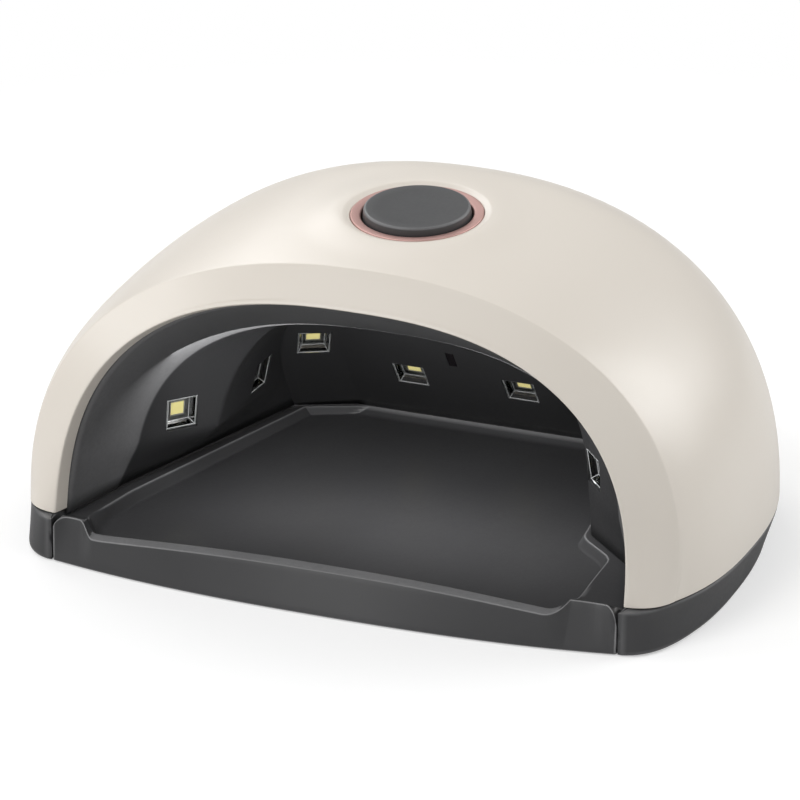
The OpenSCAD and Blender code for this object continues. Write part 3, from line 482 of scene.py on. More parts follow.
LENS = (
    "lens_clear",
    grained("clear lens", 300.0, 2.0, 0.5, ((0.90, 0.92, 0.92), (0.97, 0.98, 0.98)), (0.02, 0.09),
            0.2, 0.00003, Transmission_Weight=1.0, IOR=1.52),
    # The bevelled edges of each lens are an opaque pale grey.
    grained("pale lens edge", 1800.0, 3.0, 0.7, ((0.20, 0.21, 0.21), (0.45, 0.46, 0.46)), (0.3, 0.5),
            0.3, 0.00002),
)
CHIP = (
    "chip_yellow", SWITCH[1],
    # The phosphor's faint glow is painted light, standing in for the light falling on the chips.
    grained("phosphor", 2600.0, 3.0, 0.7, ((0.80, 0.68, 0.22), (0.93, 0.84, 0.42)), (0.45, 0.65),
            0.4, 0.00003, glow=0.75),
)

# ---- dome shell ----

RIDGE_COLUMNS = 120
SIDE_COLUMNS = 60
DOME_ROWS = 40
RIDGE_BACK = 0.0065
LIP_RADIUS = 22.6
LIP_REACH = 36.0
LIP_Z = 0.05
# The band between the ridge and the opening swells near its feet: how far, up to what height, and
# in what direction.
BAND_SWELL, SWELL_TOP, SWELL_WAY = 2.7, 30.0, (0.605, -0.797)
SHELL_WALL = 1.5


def halved(test, high):
    """The greatest share below a limit for which a test still holds, by halving."""
    low = 0.0
    for _ in range(40):
        middle = (low + high) / 2
        if test(middle):
            low = middle
        else:
            high = middle
    return low


def button_ring_of(point):
    """Radius, angle and height of a point in the button's frame."""
    local = button_inverse @ point
    return math.hypot(local.x, local.y), math.atan2(local.y, local.x), local.z


def border_place(column):
    """Place of a border column in the half disc: along the ridge, then round the back."""
    if column <= RIDGE_COLUMNS:
        reach = math.sqrt(1 - RIDGE_BACK**2)
        return -math.cos(math.pi * column / RIDGE_COLUMNS) * reach, RIDGE_BACK
    low = math.asin(RIDGE_BACK)
    step = (column - RIDGE_COLUMNS) / SIDE_COLUMNS
    side = 1 if step <= 1 else -1
    turn = mix(low, math.pi / 2, step if step <= 1 else 2 - step)
    return side * math.cos(turn), math.sin(turn)


def middle_back():
    """Where the button's axis crosses the half disc."""
    return halved(lambda back: (button_inverse @ dome_point(0, back)).y < 0, 0.9)


def dome_line(column, centre):
    """Points of one column of the dome, from the button's lip to the border."""
    across, back = border_place(column)

    def point_at(share):
        return dome_point(across * share, mix(centre, back, share))

    first = halved(lambda share: button_ring_of(point_at(share))[0] < LIP_RADIUS, 1.0)
    lift = LIP_Z - button_ring_of(point_at(first))[2]
    bunch = 1.0
    if column <= RIDGE_COLUMNS:
        bunch = abs(math.cos(math.pi * column / RIDGE_COLUMNS)) ** 4
    line = []
    for row in range(DOME_ROWS + 1):
        t = row / DOME_ROWS
        point = point_at(mix(first, 1.0, mix(t, math.sin(t * math.pi / 2), bunch)))
        radius = button_ring_of(point)[0]
        raise_by = lift * ease((LIP_REACH - radius) / (LIP_REACH - LIP_RADIUS))
        line.append(point + (button_place.to_3x3() @ Vector((0, 0, raise_by))))
    return line


# Radius and height of the soft dish round the button and of the well under it.
WELL = [(22.2, 0.0), (21.9, -0.06), (21.6, -0.16), (21.2, -0.34), (20.8, -0.5), (20.5, -0.6),
        (20.3, -0.7), (20.18, -0.85), (20.15, -1.2), (20.15, -2.4), (20.15, -3.4), (19.2, -3.4),
        (18.2, -3.4), (18.2, -4.6), (18.2, -5.8)]


def band_line(column, start):
    """Points from the dome over the ridge and the band to the lip inside the opening."""
    angle = math.pi * column / RIDGE_COLUMNS
    ridge = dome_point(-math.cos(angle), 0.0)
    edge = arch_point(OPEN_HW, OPEN_H, OPEN_ROUND, Y_OPEN, FRONT_LEAN, BASE_H, angle)
    lip = arch_point(OPEN_HW - LIP_WALL, OPEN_H - LIP_WALL, OPEN_ROUND, Y_OPEN + LIP_DEPTH, FRONT_LEAN,
                     BASE_H, angle)
    line = rounded_line([start, ridge, edge, lip], [1.3, 0.8], [1, 9, 4])
    swell = BAND_SWELL * max(0.0, 1 - (edge.z - BASE_H) / SWELL_TOP) ** 2
    out = Vector((math.copysign(SWELL_WAY[0], edge.x), SWELL_WAY[1], 0))
    span = (ridge - edge).length
    for point in line[1:-4]:
        t = min(max((point - edge).dot(ridge - edge) / span**2, 0.0), 1.0)
        point += out * swell * math.sin(math.pi * t) ** 0.8
    return line[1:]


def extend_border(bm, layer, members, place):
    """Extrudes an open border by one row, and puts each new corner where its column says."""
    border = [e for e in bm.edges if e.is_boundary and members.issuperset(e.verts)]
    fresh = extruded(bm, border)
    for v in fresh:
        v.co = place(v[layer] - 1) * MM
    return fresh


def dome_shell():
    """The shell: a grid round the button, then the well inward and the band outward, row by row."""
    count = RIDGE_COLUMNS + 2 * SIDE_COLUMNS
    centre = middle_back()
    lines = [dome_line(column, centre) for column in range(count)]
    bm = bmesh.new()
    layer = bm.verts.layers.int.new("column")
    bmesh.ops.create_grid(bm, x_segments=count, y_segments=DOME_ROWS, size=0.5)
    inner, ridge = set(), set()
    for v in bm.verts:
        column = round((v.co.x + 0.5) * count) % count
        row = round((v.co.y + 0.5) * DOME_ROWS)
        v[layer] = column + 1
        v.co = lines[column][row] * MM
        if row == 0:
            inner.add(v)
        if row == DOME_ROWS and column <= RIDGE_COLUMNS:
            ridge.add(v)
    bmesh.ops.remove_doubles(bm, verts=bm.verts, dist=2e-6)
    inner = {v for v in inner if v.is_valid}
    ridge = {v for v in ridge if v.is_valid}
    angles = [button_ring_of(line[0])[1] for line in lines]

    def well_place(column):
        across, ahead = radius * math.cos(angles[column]), radius * math.sin(angles[column])
        return button_place @ Vector((across, ahead, height))

    for radius, height in WELL:
        inner = extend_border(bm, layer, inner, well_place)
    bands = [band_line(column, lines[column][-1]) for column in range(RIDGE_COLUMNS + 1)]
    for row in range(len(bands[0])):
        ridge = extend_border(bm, layer, ridge, lambda c: bands[c][row])
    bmesh.ops.recalc_face_normals(bm, faces=bm.faces)
    piece = make_piece("dome_shell", bm, CREAM, ["top_shell"], "lamp", 40.0)
    add_wall(piece, SHELL_WALL)
    soften(piece, 0.35)


dome_shell()

# ---- liner ----

LINER_OPEN_Y = Y_OPEN + LIP_DEPTH + 0.3
FLARE_H, FLARE_SOFT = 13.5, 0.004
LINER_WALL = 1.2
# Half size and depth of the lamps' and the sensor's windows.
LAMP_WINDOW = (5.25, 5.25, 2.2)
SENSOR_WINDOW = (3.65, 1.35, 2.2)
# How far from a window the liner's faces are cut by the planes of its sides.
WINDOW_MARGIN = 6
LINER_COLUMNS = 96
# Where the reveal's painted light begins ahead of the mouth's edge, and over what run.
REVEAL_START, REVEAL_RUN = -0.3, 1.2


def rear_y(x, z):
    """Depth of the rear wall, which leans forward and bends at its ends."""
    return Y_REAR - REAR_LEAN * (z - LINER_Z) - CORNER_SLOPE * max(abs(x) - REAR_FLAT_HW, 0.0)


def flared(point, left, right):
    """Moves the foot of a wall outward, with a soft start at the flare's top."""
    t = (point.z - LINER_Z) / FLARE_H
    share = ((1 - t) + math.sqrt((1 - t) ** 2 + FLARE_SOFT)) / 2
    return point + Vector((share * (right if point.x > 0 else -left), 0, 0))


def liner_line(angle):
    """Points of one column of the liner: reveal, slanting wall, side wall and rear wall."""
    def wall_arch(half_width, y, lean):
        return arch_point(half_width, CEILING_Z - LINER_Z, CAVITY_ROUND, y, lean, LINER_Z, angle)

    front = arch_point(OPEN_HW - LIP_WALL, BASE_H + OPEN_H - LIP_WALL - LINER_Z, OPEN_ROUND,
                       LINER_OPEN_Y, FRONT_LEAN, LINER_Z, angle)
    mouth = flared(wall_arch(MOUTH_HW, Y_MOUTH, MOUTH_LEAN), MOUTH_FLARE, MOUTH_FLARE)
    inner = flared(wall_arch(INNER_HW, Y_INNER, MOUTH_LEAN), LEFT_FLARE, RIGHT_FLARE)
    rim = wall_arch(REAR_HW, 0, 0)
    rim.y = rear_y(rim.x, rim.z)
    foot = Vector((rim.x, rear_y(rim.x, LINER_Z), LINER_Z))
    return rounded_line([front, mouth, inner, rim, foot], [0.7, 1.1, 1.2], [10, 7, 20, 18])


LAMP_Z, CORNER_Z, REAR_Z = 33.5, 40.0, 30.0
CORNER_X, REAR_X, SENSOR_X = 46.4, 18.2, -2.0
lamp_rise = (LAMP_Z - LINER_Z) / (CEILING_Z - LINER_Z)
lamp_level = (1 - lamp_rise**CAVITY_ROUND) ** (1 / CAVITY_ROUND)
slant_run = Y_INNER - Y_MOUTH
slant_in = (MOUTH_HW - INNER_HW) * lamp_level
side_front = Y_INNER + MOUTH_LEAN * (LAMP_Z - LINER_Z)
side_back = rear_y(REAR_HW, LAMP_Z)
SIDE_SHARE = 0.66
# How far in along their walls the two front lamps sit.
LEFT_SHARE, RIGHT_SHARE = 0.466, 0.74


def front_spot(share):
    """A point on the slanting wall at the lamps' height, from the mouth inward."""
    across = MOUTH_HW * lamp_level - share * slant_in
    return across, Y_MOUTH + share * slant_run + MOUTH_LEAN * (LAMP_Z - LINER_Z), LAMP_Z


# Point on the wall and outward direction of each lamp, as on the right side.
SPOTS = {
    "front": (front_spot(RIGHT_SHARE), (slant_run, slant_in, 0.2 * slant_run)),
    "side": (
        (mix(INNER_HW, REAR_HW, SIDE_SHARE) * lamp_level, mix(side_front, side_back, SIDE_SHARE),
         LAMP_Z),
        (1, (INNER_HW - REAR_HW) * lamp_level / (side_back - side_front), 0.22),
    ),
    "corner": ((CORNER_X, rear_y(CORNER_X, CORNER_Z), CORNER_Z), (CORNER_SLOPE + 0.1, 1, REAR_LEAN)),
    "rear": ((REAR_X, rear_y(REAR_X, REAR_Z), REAR_Z), (0, 1, REAR_LEAN)),
}


def spot_place(name, side):
    """Frame of a lamp on the liner's wall, with z along the outward direction."""
    point, way = SPOTS[name]
    if (name, side) == ("front", -1):
        point = front_spot(LEFT_SHARE)
    way = Vector((side * way[0], way[1], way[2])).normalized()
    turn = Matrix.Rotation(math.atan2(way.y, way.x), 4, "Z") @ Matrix.Rotation(math.acos(way.z), 4, "Y")
    return Matrix.Translation((side * point[0], point[1], point[2])) @ turn


lamps = {(name, side): spot_place(name, side) for name in SPOTS for side in (-1, 1)}
rear_tilt = math.acos(REAR_LEAN / math.hypot(1, REAR_LEAN))
sensor_place = Matrix.Translation((SENSOR_X, rear_y(SENSOR_X, CORNER_Z), CORNER_Z)) @ (
    Matrix.Rotation(math.pi / 2, 4, "Z") @ Matrix.Rotation(rear_tilt, 4, "Y")
)


def cut_window(bm, place, half_x, half_y, depth):
    """Opens a square window in a skin and turns its edges outward, as the pocket of a lens."""
    inverse = place.inverted()

    def within(face, margin):
        local = inverse @ (face.calc_center_median() / MM)
        near_wall = abs(local.z) < WINDOW_MARGIN
        return abs(local.x) < half_x + margin and abs(local.y) < half_y + margin and near_wall

    for axis, half in ((0, half_x), (1, half_y)):
        for sign in (-1, 1):
            faces = [f for f in bm.faces if within(f, WINDOW_MARGIN)]
            edges = {e for f in faces for e in f.edges}
            verts = {v for f in faces for v in f.verts}
            normal = Vector((0, 0, 0))
            normal[axis] = sign
            bmesh.ops.bisect_plane(
                bm, geom=[*verts, *edges, *faces], dist=1e-7,
                plane_co=(place @ (normal * half)) * MM, plane_no=place.to_3x3() @ normal,
            )
    opened = [f for f in bm.faces if within(f, 0)]
    rim = {e for f in opened for e in f.edges if any(not within(g, 0) for g in e.link_faces)}
    bmesh.ops.delete(bm, geom=opened, context="FACES")
    for v in extruded(bm, [e for e in rim if e.is_valid]):
        local = inverse @ (v.co / MM)
        local.z = depth
        v.co = (place @ local) * MM


def reflector_liner():
    """The reflector: one sheet with a window for each lamp and for the sensor."""
    bm = sheet_through([liner_line(math.pi * k / LINER_COLUMNS) for k in range(LINER_COLUMNS + 1)])
    bmesh.ops.recalc_face_normals(bm, faces=bm.faces)
    middle = min(bm.faces, key=lambda f: (f.calc_center_median() - Vector((0, 0.0, 0.07))).length)
    if middle.normal.z > 0:
        bmesh.ops.reverse_faces(bm, faces=bm.faces)
    for place in lamps.values():
        cut_window(bm, place, *LAMP_WINDOW)
    cut_window(bm, sensor_place, *SENSOR_WINDOW)
    # The reveal in front of the mouth is painted lighter than the walls: painted light where light
    # reaches the mouth, while the walls deeper in stay darker.
    layer = bm.verts.layers.float.new("edge")
    for v in bm.verts:
        ahead = Y_MOUTH + MOUTH_LEAN * (v.co.z / MM - LINER_Z) - v.co.y / MM
        v[layer] = ease((ahead - REVEAL_START) / REVEAL_RUN)
    piece = make_piece("reflector_liner", bm, LINER, ["inner_liner"], "lamp", 24.0)
    add_wall(piece, LINER_WALL)


reflector_liner()

# ---- tray ----

SHOULDER_Z, RAIL_Z = 13.8, 11.8
FLOOR_FRONT_Z, FLOOR_REAR_Z = 7.6, 9.4
TRAY_HW = GAP_HW - 0.4
TRAY_BOW, BOW_POWER = 7.5, 2.5
TRAY_REAR_Y = Y_REAR + 1.0
TRAY_CORNER_Y = Y_REAR - CORNER_SLOPE * (REAR_HW - REAR_FLAT_HW) + 0.6
# Columns nearer to the side than this keep their distance from it, and the others share the rest.
FINE_REACH = 20.0
STRETCH_RUN = 1.1
# Of each shoulder and its rail, left (-1) and right (1): width of the top, round of the outer
# corner, and how far the top is set back, over what run from the side.
RAIL_EDGE = {-1: 4.4, 1: 6.4}
CORNER_ROUND = {-1: 3.2, 1: 5.5}
SHOULDER_BACK = {-1: 4.4, 1: 6.6}
SHOULDER_RUN = {-1: 5.0, 1: 8.0}
# The shoulders fall to the rails from here on, over this run.
FALL_Y, FALL_RUN = -73.8, 5.2
RAIL_SLOPE, RAIL_SOFT, RAIL_TURN = 1.7, 0.4, 10.0
# The lip: height at the sides, rise to the middle, crest, run and set-back in the middle.
LIP_SIDE_Z, LIP_RISE, LIP_CREST, LIP_RUN, LIP_BACK = 8.8, 3.4, 0.5, 3.7, 6.2
# Lowest height of the lip's top that gets a painted highlight, and the share of it.
LIP_LOW, LIP_HIGHLIGHT = 8.6, 0.8
FOOT_RUN = (2.6, 3.4)
FLOOR_START = 2.4
# The right shoulder's hollow: its run, its power and the soft start of its fall.
HOLLOW_RUN, HOLLOW_POWER, HOLLOW_SOFT = 7.5, 2.3, 0.25
FRONT_ROUND, REAR_ROUND, KEPT_DROP = 0.7, 0.8, 0.3
REAR_BEAD = (1.2, 2.7, 0.9)
SIDE_LINE = [(LINER_OPEN_Y, TRAY_HW), (Y_MOUTH + 0.2, MOUTH_HW + MOUTH_FLARE + 1),
             (Y_INNER + 0.2, INNER_HW + LEFT_FLARE + 1), (TRAY_CORNER_Y, REAR_HW + 1),
             (TRAY_REAR_Y, 40.18)]
# Width added to the flat top of each rail, along the depth.
RAIL_EXTRA = {
    -1: [(-77.0, 4.0), (-68.2, 3.15), (Y_MOUTH, 1.4), (TRAY_CORNER_Y, 0.0)],
    1: [(-77.0, 8.8), (-70.0, 9.4), (Y_MOUTH, 4.3), (-37.4, 2.4), (-26.4, 11.9), (Y_INNER, 11.5),
        (TRAY_CORNER_Y, 0.0)],
}
# Rows of the floor: shares of the way to the mouth, the inner end and the rear corner, then
# distances from the rear edge.
ROWS_TO_MOUTH = (0.06, 0.12, 0.18, 0.25, 0.33, 0.42, 0.52, 0.63, 0.75, 0.87, 0.95, 1.0)
ROWS_TO_INNER = (0.1, 0.2, 0.3, 0.42, 0.55, 0.68, 0.8, 0.86, 0.93, 1.0)
ROWS_TO_CORNER = (0.02, 0.05, 0.1, 0.2, 0.32, 0.44, 0.55, 0.66, 0.77, 0.87, 0.94, 1.0)
ROWS_AT_REAR = (7.4, 6.4, 5.6, 4.8, 4.0, 3.3, 2.6, 1.9, 1.2, 0.7, 0.4, 0.2, 0.08, 0.0)
# Distances of the columns from the side, close where the corners are round.
COLUMNS = [0, 0.1, 0.25, 0.45, 0.7, 1.0, 1.35, 1.75, 2.2, 2.65, 3.05, 3.4, 3.7]
COLUMNS += [4.0 + 0.2 * k for k in range(24)] + [8.9 + 0.4 * k for k in range(14)]
COLUMNS += [15.2, 17.0, 20.0, 22.0, 25.0] + [28.5 + 3.4 * k for k in range(18)]


def along(table, y):
    """A value from a table of places and values, straight between them."""
    if y <= table[0][0]:
        return table[0][1]
    for (y0, v0), (y1, v1) in zip(table, table[1:]):
        if y <= y1:
            return mix(v0, v1, (y - y0) / (y1 - y0))
    return table[-1][1]


def along_softly(table, y, step):
    """A value from a table with its bends rounded over two steps either way."""
    return sum(along(table, y + k * step) for k in (-2, -1, 0, 1, 2)) / 5


def floor_z(y):
    return mix(FLOOR_FRONT_Z, FLOOR_REAR_Z, min(max((y - Y_GAP) / (Y_REAR - Y_GAP), 0.0), 1.0))


def edge_drop(d, radius):
    """How much a rounded edge has dropped at a distance d from it."""
    if d >= radius:
        return 0.0
    return radius - math.sqrt(max(radius * radius - (radius - d) ** 2, 0.0))


def ramp(d, first, last, soft):
    """Falls from 1 to 0 between two places, straight with softly rounded corners."""
    run = last - first
    if d <= first - soft:
        return 1.0
    if d < first + soft:
        return 1 - (d - first + soft) ** 2 / (4 * soft * run)
    if d <= last - soft:
        return 1 - (d - first) / run
    if d < last + soft:
        return (last + soft - d) ** 2 / (4 * soft * run)
    return 0.0


def shoulder_share(d, side):
    """The inner side of a shoulder: 1 on its top, 0 on the lip. The right one ends in a hollow."""
    t = d - RAIL_EDGE[side]
    if side < 0:
        return 1 - 0.9 * ease((t + 0.4) / 6.0) - 0.1 * ease(t / 9.0)
    if t < -HOLLOW_SOFT:
        return 1.0
    t = t if t > HOLLOW_SOFT else (t + HOLLOW_SOFT) ** 2 / (4 * HOLLOW_SOFT)
    return max(1 - t / HOLLOW_RUN, 0.0) ** HOLLOW_POWER


def top_limit(y):
    """Greatest height of the tray, which falls from the shoulders to the rails ahead of the liner."""
    return mix(SHOULDER_Z, RAIL_Z, ease((y - FALL_Y) / FALL_RUN))


def column_width(d, side):
    """The half width of a column as a function of the depth, from its distance to the side."""
    near = min(d, FINE_REACH)
    middle = (d - near) / (TRAY_HW - FINE_REACH)
    stretch = ease((d - RAIL_EDGE[side]) / STRETCH_RUN + 1.5)

    def half_width(y):
        width, extra = along(SIDE_LINE, y), along_softly(RAIL_EXTRA[side], y, 1.2)
        return width - near - extra * stretch - middle * (width - extra - FINE_REACH)

    return half_width


def floor_rows(begin):
    """Depths of the rows from where the floor begins to the rear edge."""
    rows = [mix(begin, Y_MOUTH, t) for t in ROWS_TO_MOUTH]
    rows += [mix(Y_MOUTH, Y_INNER, t) for t in ROWS_TO_INNER]
    rows += [mix(Y_INNER, TRAY_CORNER_Y, t) for t in ROWS_TO_CORNER]
    return rows + [TRAY_REAR_Y - e for e in ROWS_AT_REAR]


def tray_line(d, side):
    """Points of one column of the tray, from its front foot over the lip and floor to its rear edge."""
    half_width = column_width(d, side)
    from_side = TRAY_HW - half_width(Y_GAP)
    bow = 1 - (half_width(Y_GAP) / TRAY_HW) ** BOW_POWER
    share, inner_share = shoulder_share(d, side), shoulder_share(d + 0.4, side)
    drop = edge_drop(from_side, CORNER_ROUND[side])

    def at(y, z):
        return Vector((side * half_width(y), y, min(z, top_limit(y) - drop * KEPT_DROP)))

    front = Y_GAP - TRAY_BOW * bow + edge_drop(d, FRONT_ROUND)
    round_off = 1 - (1 - min(from_side / SHOULDER_RUN[side], 1.0)) ** 2
    edge_y = front + mix(LIP_BACK * bow * bow, SHOULDER_BACK[side], share) * round_off
    inner_y = edge_y + LIP_RUN
    foot_y = inner_y + mix(*FOOT_RUN, share)
    begin = foot_y + FLOOR_START
    lip_z = LIP_SIDE_Z + LIP_RISE * bow
    edge_z = mix(lip_z, SHOULDER_Z, share) - drop
    inner_z = mix(lip_z + LIP_CREST, SHOULDER_Z, inner_share) - drop
    start_z = mix(floor_z(foot_y), top_limit(foot_y), inner_share) - KEPT_DROP * drop
    corners = [(front + 0.8, FOOT_DROP), (front, FOOT_DROP), (edge_y, edge_z), (inner_y, inner_z),
               (foot_y, start_z), (begin, start_z)]
    line = rounded_line([at(y, z) for y, z in corners], [0.7, 0.5, 0.6, 1.2], [1, 8, 3, 4, 2])
    for point in line:
        point.z = min(point.z, top_limit(point.y) - drop * KEPT_DROP)
    rail = ramp(d, RAIL_EDGE[side], RAIL_EDGE[side] + RAIL_SLOPE, RAIL_SOFT)
    for y in floor_rows(begin):
        rise = mix(inner_share, rail, ease((y - begin) / RAIL_TURN))
        z = mix(floor_z(y), top_limit(y), max(rise, ramp(TRAY_REAR_Y - y, *REAR_BEAD)))
        line.append(at(y, z - KEPT_DROP * drop - edge_drop(TRAY_REAR_Y - y, REAR_ROUND)))
    return line + [at(TRAY_REAR_Y, mix(line[-1].z, FOOT_DROP, t)) for t in (0.3, 0.6, 0.9, 1.0)]


def slide_tray():
    """The tray: one sheet over all columns, whose border goes down to the foot and is closed there."""
    lines = [tray_line(d, -1) for d in COLUMNS] + [tray_line(TRAY_HW, 1)]
    bm = sheet_through(lines + [tray_line(d, 1) for d in reversed(COLUMNS)])
    for v in extruded(bm, [e for e in bm.edges if e.is_boundary]):
        v.co.z = FOOT_DROP * MM
    bmesh.ops.remove_doubles(bm, verts=bm.verts, dist=2e-6)
    bmesh.ops.holes_fill(bm, edges=[e for e in bm.edges if e.is_boundary], sides=0)
    bmesh.ops.recalc_face_normals(bm, faces=bm.faces)
    # The bent edges of the tray get a painted highlight.
    mark_highlight_edges(bm, 9.0, 22.0)
    # The top of the lip gets a painted highlight too.
    layer = bm.verts.layers.float["edge"]
    for v in bm.verts:
        if v.normal.z > 0.9 and v.co.y < Y_OPEN * MM and v.co.z > LIP_LOW * MM:
            v[layer] = max(v[layer], LIP_HIGHLIGHT)
    make_piece("slide_tray", bm, TRAY, ["base_tray"], "tray", 30.0)


slide_tray()

# ---- foot ring ----

RING_TOP, RING_FLOOR, FLANGE_Z = 13.4, 2.4, 12.2
# How far the ring's side leans in at its foot, along the depth.
RING_DRAFT = [(-62.0, 0.0), (-56.7, 0.6), (-45.2, 1.9), (-32.3, 2.7), (-15.6, 3.1), (1.0, 3.7),
              (30.0, 3.8)]
DRAFT_LOW_Z = 1.8
# How far its front leans back at the top, and over what depth that ends.
RING_LEAN, LEAN_RUN = 2.0, 26.0
WALL_OUTER, WALL_INNER = 5.2, 1.1
FULL_WIDTH = 8.0
POCKET_LINE = [(GAP_HW, Y_GAP + 0.4), (GAP_HW + 0.2, Y_GAP + 2), (GAP_HW + 0.2, LINER_OPEN_Y),
               (84.42, Y_MOUTH + 0.28), (78.32, Y_INNER + 0.28), (60.4, TRAY_CORNER_Y + 0.3),
               (40.25, Y_REAR + 1.4), (0.0, Y_REAR + 1.4)]
# Inset and height of the ring's outer side, from its foot to its rounded top edge.
RING_SIDE = [(1.3, 0.4), (0.75, 0.52), (0.35, 0.8), (0.1, 1.25), (0.0, 1.9), (0.0, 4.0), (0.0, 7.0),
             (0.0, 10.0), (0.0, 12.4), (0.06, 12.75), (0.22, 13.08), (0.48, 13.3), (0.8, 13.4)]
CORNER_END_Y = -54.0
CORNER_LINE = [(GAP_HW + 0.4, Y_GAP), (99.5, Y_GAP), (103.2, -68.0),
               (outline_half_width(CORNER_END_Y), CORNER_END_Y)]
SCREW_SPOTS = [(102.7, -37.2), (89.02, 39.87)]
FOOT_SPOTS = [(95.46, Y_MOUTH), (66.8, 58.0)]
# Radius, low end, high end and sides of the round shapes at the screws and feet.
BOSS, COUNTERBORE, SCREW_HOLE = (3.4, 1.0, 13.3, 32), (2.8, -1, 3.4, 32), (1.6, 3, 15, 24)
FOOT_POCKET = (5.15, -1, 1.2, 48)
INLET_Z, INLET_R, INLET_REACH = 7.2, 4.15, (77, 92)
RING_SECTIONS, CORNER_STEPS, SIDE_STEPS = 150, 40, 180


def resampled(points, count):
    """Points spaced evenly along a line."""
    lengths = [0.0]
    for a, b in zip(points, points[1:]):
        lengths.append(lengths[-1] + (b - a).length)
    result, k = [], 0
    for i in range(count + 1):
        target = lengths[-1] * i / count
        while k < len(points) - 2 and lengths[k + 1] < target:
            k += 1
        span = max(lengths[k + 1] - lengths[k], 1e-9)
        result.append(points[k].lerp(points[k + 1], (target - lengths[k]) / span))
    return result


def ring_outline():
    """The ring's outer line from its front corner to the middle of the back."""
    corner = [Vector((x, y, 0)) for x, y in CORNER_LINE]
    points = [Vector((GAP_HW, Y_GAP + 0.4, 0)), Vector((GAP_HW + 0.12, Y_GAP + 0.12, 0))]
    for k in range(CORNER_STEPS + 1):
        t = k / CORNER_STEPS
        a, b, c = (corner[i].lerp(corner[i + 1], t) for i in range(3))
        points.append(a.lerp(b, t).lerp(b.lerp(c, t), t))
    for k in range(1, SIDE_STEPS + 1):
        y = mix(CORNER_END_Y, Y_BACK, math.sin(math.pi / 2 * k / SIDE_STEPS))
        points.append(Vector((outline_half_width(y), y, 0)))
    return points


def ring_half(side):
    """Closed cross sections of one half of the ring, from the front to the middle of the back."""
    count = RING_SECTIONS
    outer = resampled(ring_outline(), count)
    pocket = resampled([Vector((x, y, 0)) for x, y in POCKET_LINE], count)
    sections = []
    for k in range(count + 1):
        ahead = (outer[min(k + 1, count)] - outer[max(k - 1, 0)]).normalized()
        if k == count:
            ahead = Vector((-1, 0, 0))
        inward = Vector((-ahead.y, ahead.x, 0))
        width = (outer[k] - pocket[k]).length
        scale = min(1.0, width / FULL_WIDTH)
        draft = along_softly(RING_DRAFT, outer[k].y, 4)
        lean = RING_LEAN * (1 - ease((outer[k].y - Y_GAP) / LEAN_RUN))
        across = (pocket[k] - outer[k]).normalized() if width > 0.01 else Vector((0, 0, 0))

        def outer_point(inset, z, way):
            low = min((RING_TOP - z) / (RING_TOP - DRAFT_LOW_Z), 1.0)
            slope = draft * low + lean * (z - FOOT_DROP) / RING_TOP
            point = outer[k] + way * (inset * scale) + inward * slope * scale
            return Vector((point.x, point.y, z))

        def pocket_point(back, z):
            point = pocket[k] - across * (back * scale)
            return Vector((point.x, point.y, z))

        top = FLANGE_Z if pocket[k].y > LINER_OPEN_Y - 1 else RING_TOP
        section = [outer_point(inset, z, inward) for inset, z in RING_SIDE]
        section += [outer_point(WALL_OUTER, z, across) for z in (RING_TOP, RING_FLOOR)]
        pocket_side = [(WALL_INNER, RING_FLOOR), (WALL_INNER, top), (0.3, top), (0.08, top - 0.08),
                       (0.0, top - 0.3), (0.0, 7.0), (0.0, 0.8), (0.3, FOOT_DROP)]
        section += [pocket_point(back, z) for back, z in pocket_side]
        section.append(section[0])
        sections.append([Vector((side * p.x, p.y, p.z)) for p in section])
    return sections


def rod(radius, start, end, steps=48):
    """A round rod between two points, to join or to cut with."""
    bm = bmesh.new()
    way = end - start
    place = Matrix.Translation((start + end) / 2) @ way.to_track_quat("Z", "Y").to_matrix().to_4x4()
    bmesh.ops.create_cone(bm, cap_ends=True, segments=steps, radius1=radius, radius2=radius,
                          depth=way.length)
    bmesh.ops.transform(bm, matrix=Matrix.Scale(MM, 4) @ place, verts=bm.verts)
    return bm


def upright(side, spots, radius, low, high, steps):
    """The same upright rod at several places on one side."""
    return [
        rod(radius, Vector((side * x, y, low)), Vector((side * x, y, high)), steps)
        for x, y in spots
    ]


def joined_and_cut(bm, joined, cutters):
    """A mesh with some shapes joined to it and others taken away from it."""
    body = object_from("raw", bm)
    tools = [(object_from("raw", shape), "UNION") for shape in joined]
    tools += [(object_from("raw", shape), "DIFFERENCE") for shape in cutters]
    for tool, operation in tools:
        change = body.modifiers.new("change", "BOOLEAN")
        change.object = tool
        change.operation = operation
        change.solver = "EXACT"
        tool.hide_render = True
    bpy.context.view_layer.update()
    mesh = bpy.data.meshes.new_from_object(body.evaluated_get(bpy.context.evaluated_depsgraph_get()))
    result = bmesh.new()
    result.from_mesh(mesh)
    for thing in [body] + [tool for tool, _ in tools]:
        bpy.data.objects.remove(thing)
    bpy.data.meshes.remove(mesh)
    return result


def foot_ring():
    """The channel under the shell, with its screw bosses, foot pockets and the hole of the inlet."""
    bm = sheet_through(ring_half(-1) + list(reversed(ring_half(1)))[1:])
    bmesh.ops.recalc_face_normals(bm, faces=bm.faces)
    # The bent edges of the ring get a painted highlight.
    mark_highlight_edges(bm, 8.0, 30.0)
    bosses, cutters = [], [rod(INLET_R, *(Vector((0, y, INLET_Z)) for y in INLET_REACH))]
    for side in (-1, 1):
        bosses += upright(side, SCREW_SPOTS, *BOSS)
        cutters += upright(side, SCREW_SPOTS, *COUNTERBORE)
        cutters += upright(side, SCREW_SPOTS, *SCREW_HOLE)
        cutters += upright(side, FOOT_SPOTS, *FOOT_POCKET)
    make_piece("foot_ring", joined_and_cut(bm, bosses, cutters), RING, ["base_ring"], "lamp")


foot_ring()

# ---- turned button parts ----

TURN_STEPS = 128


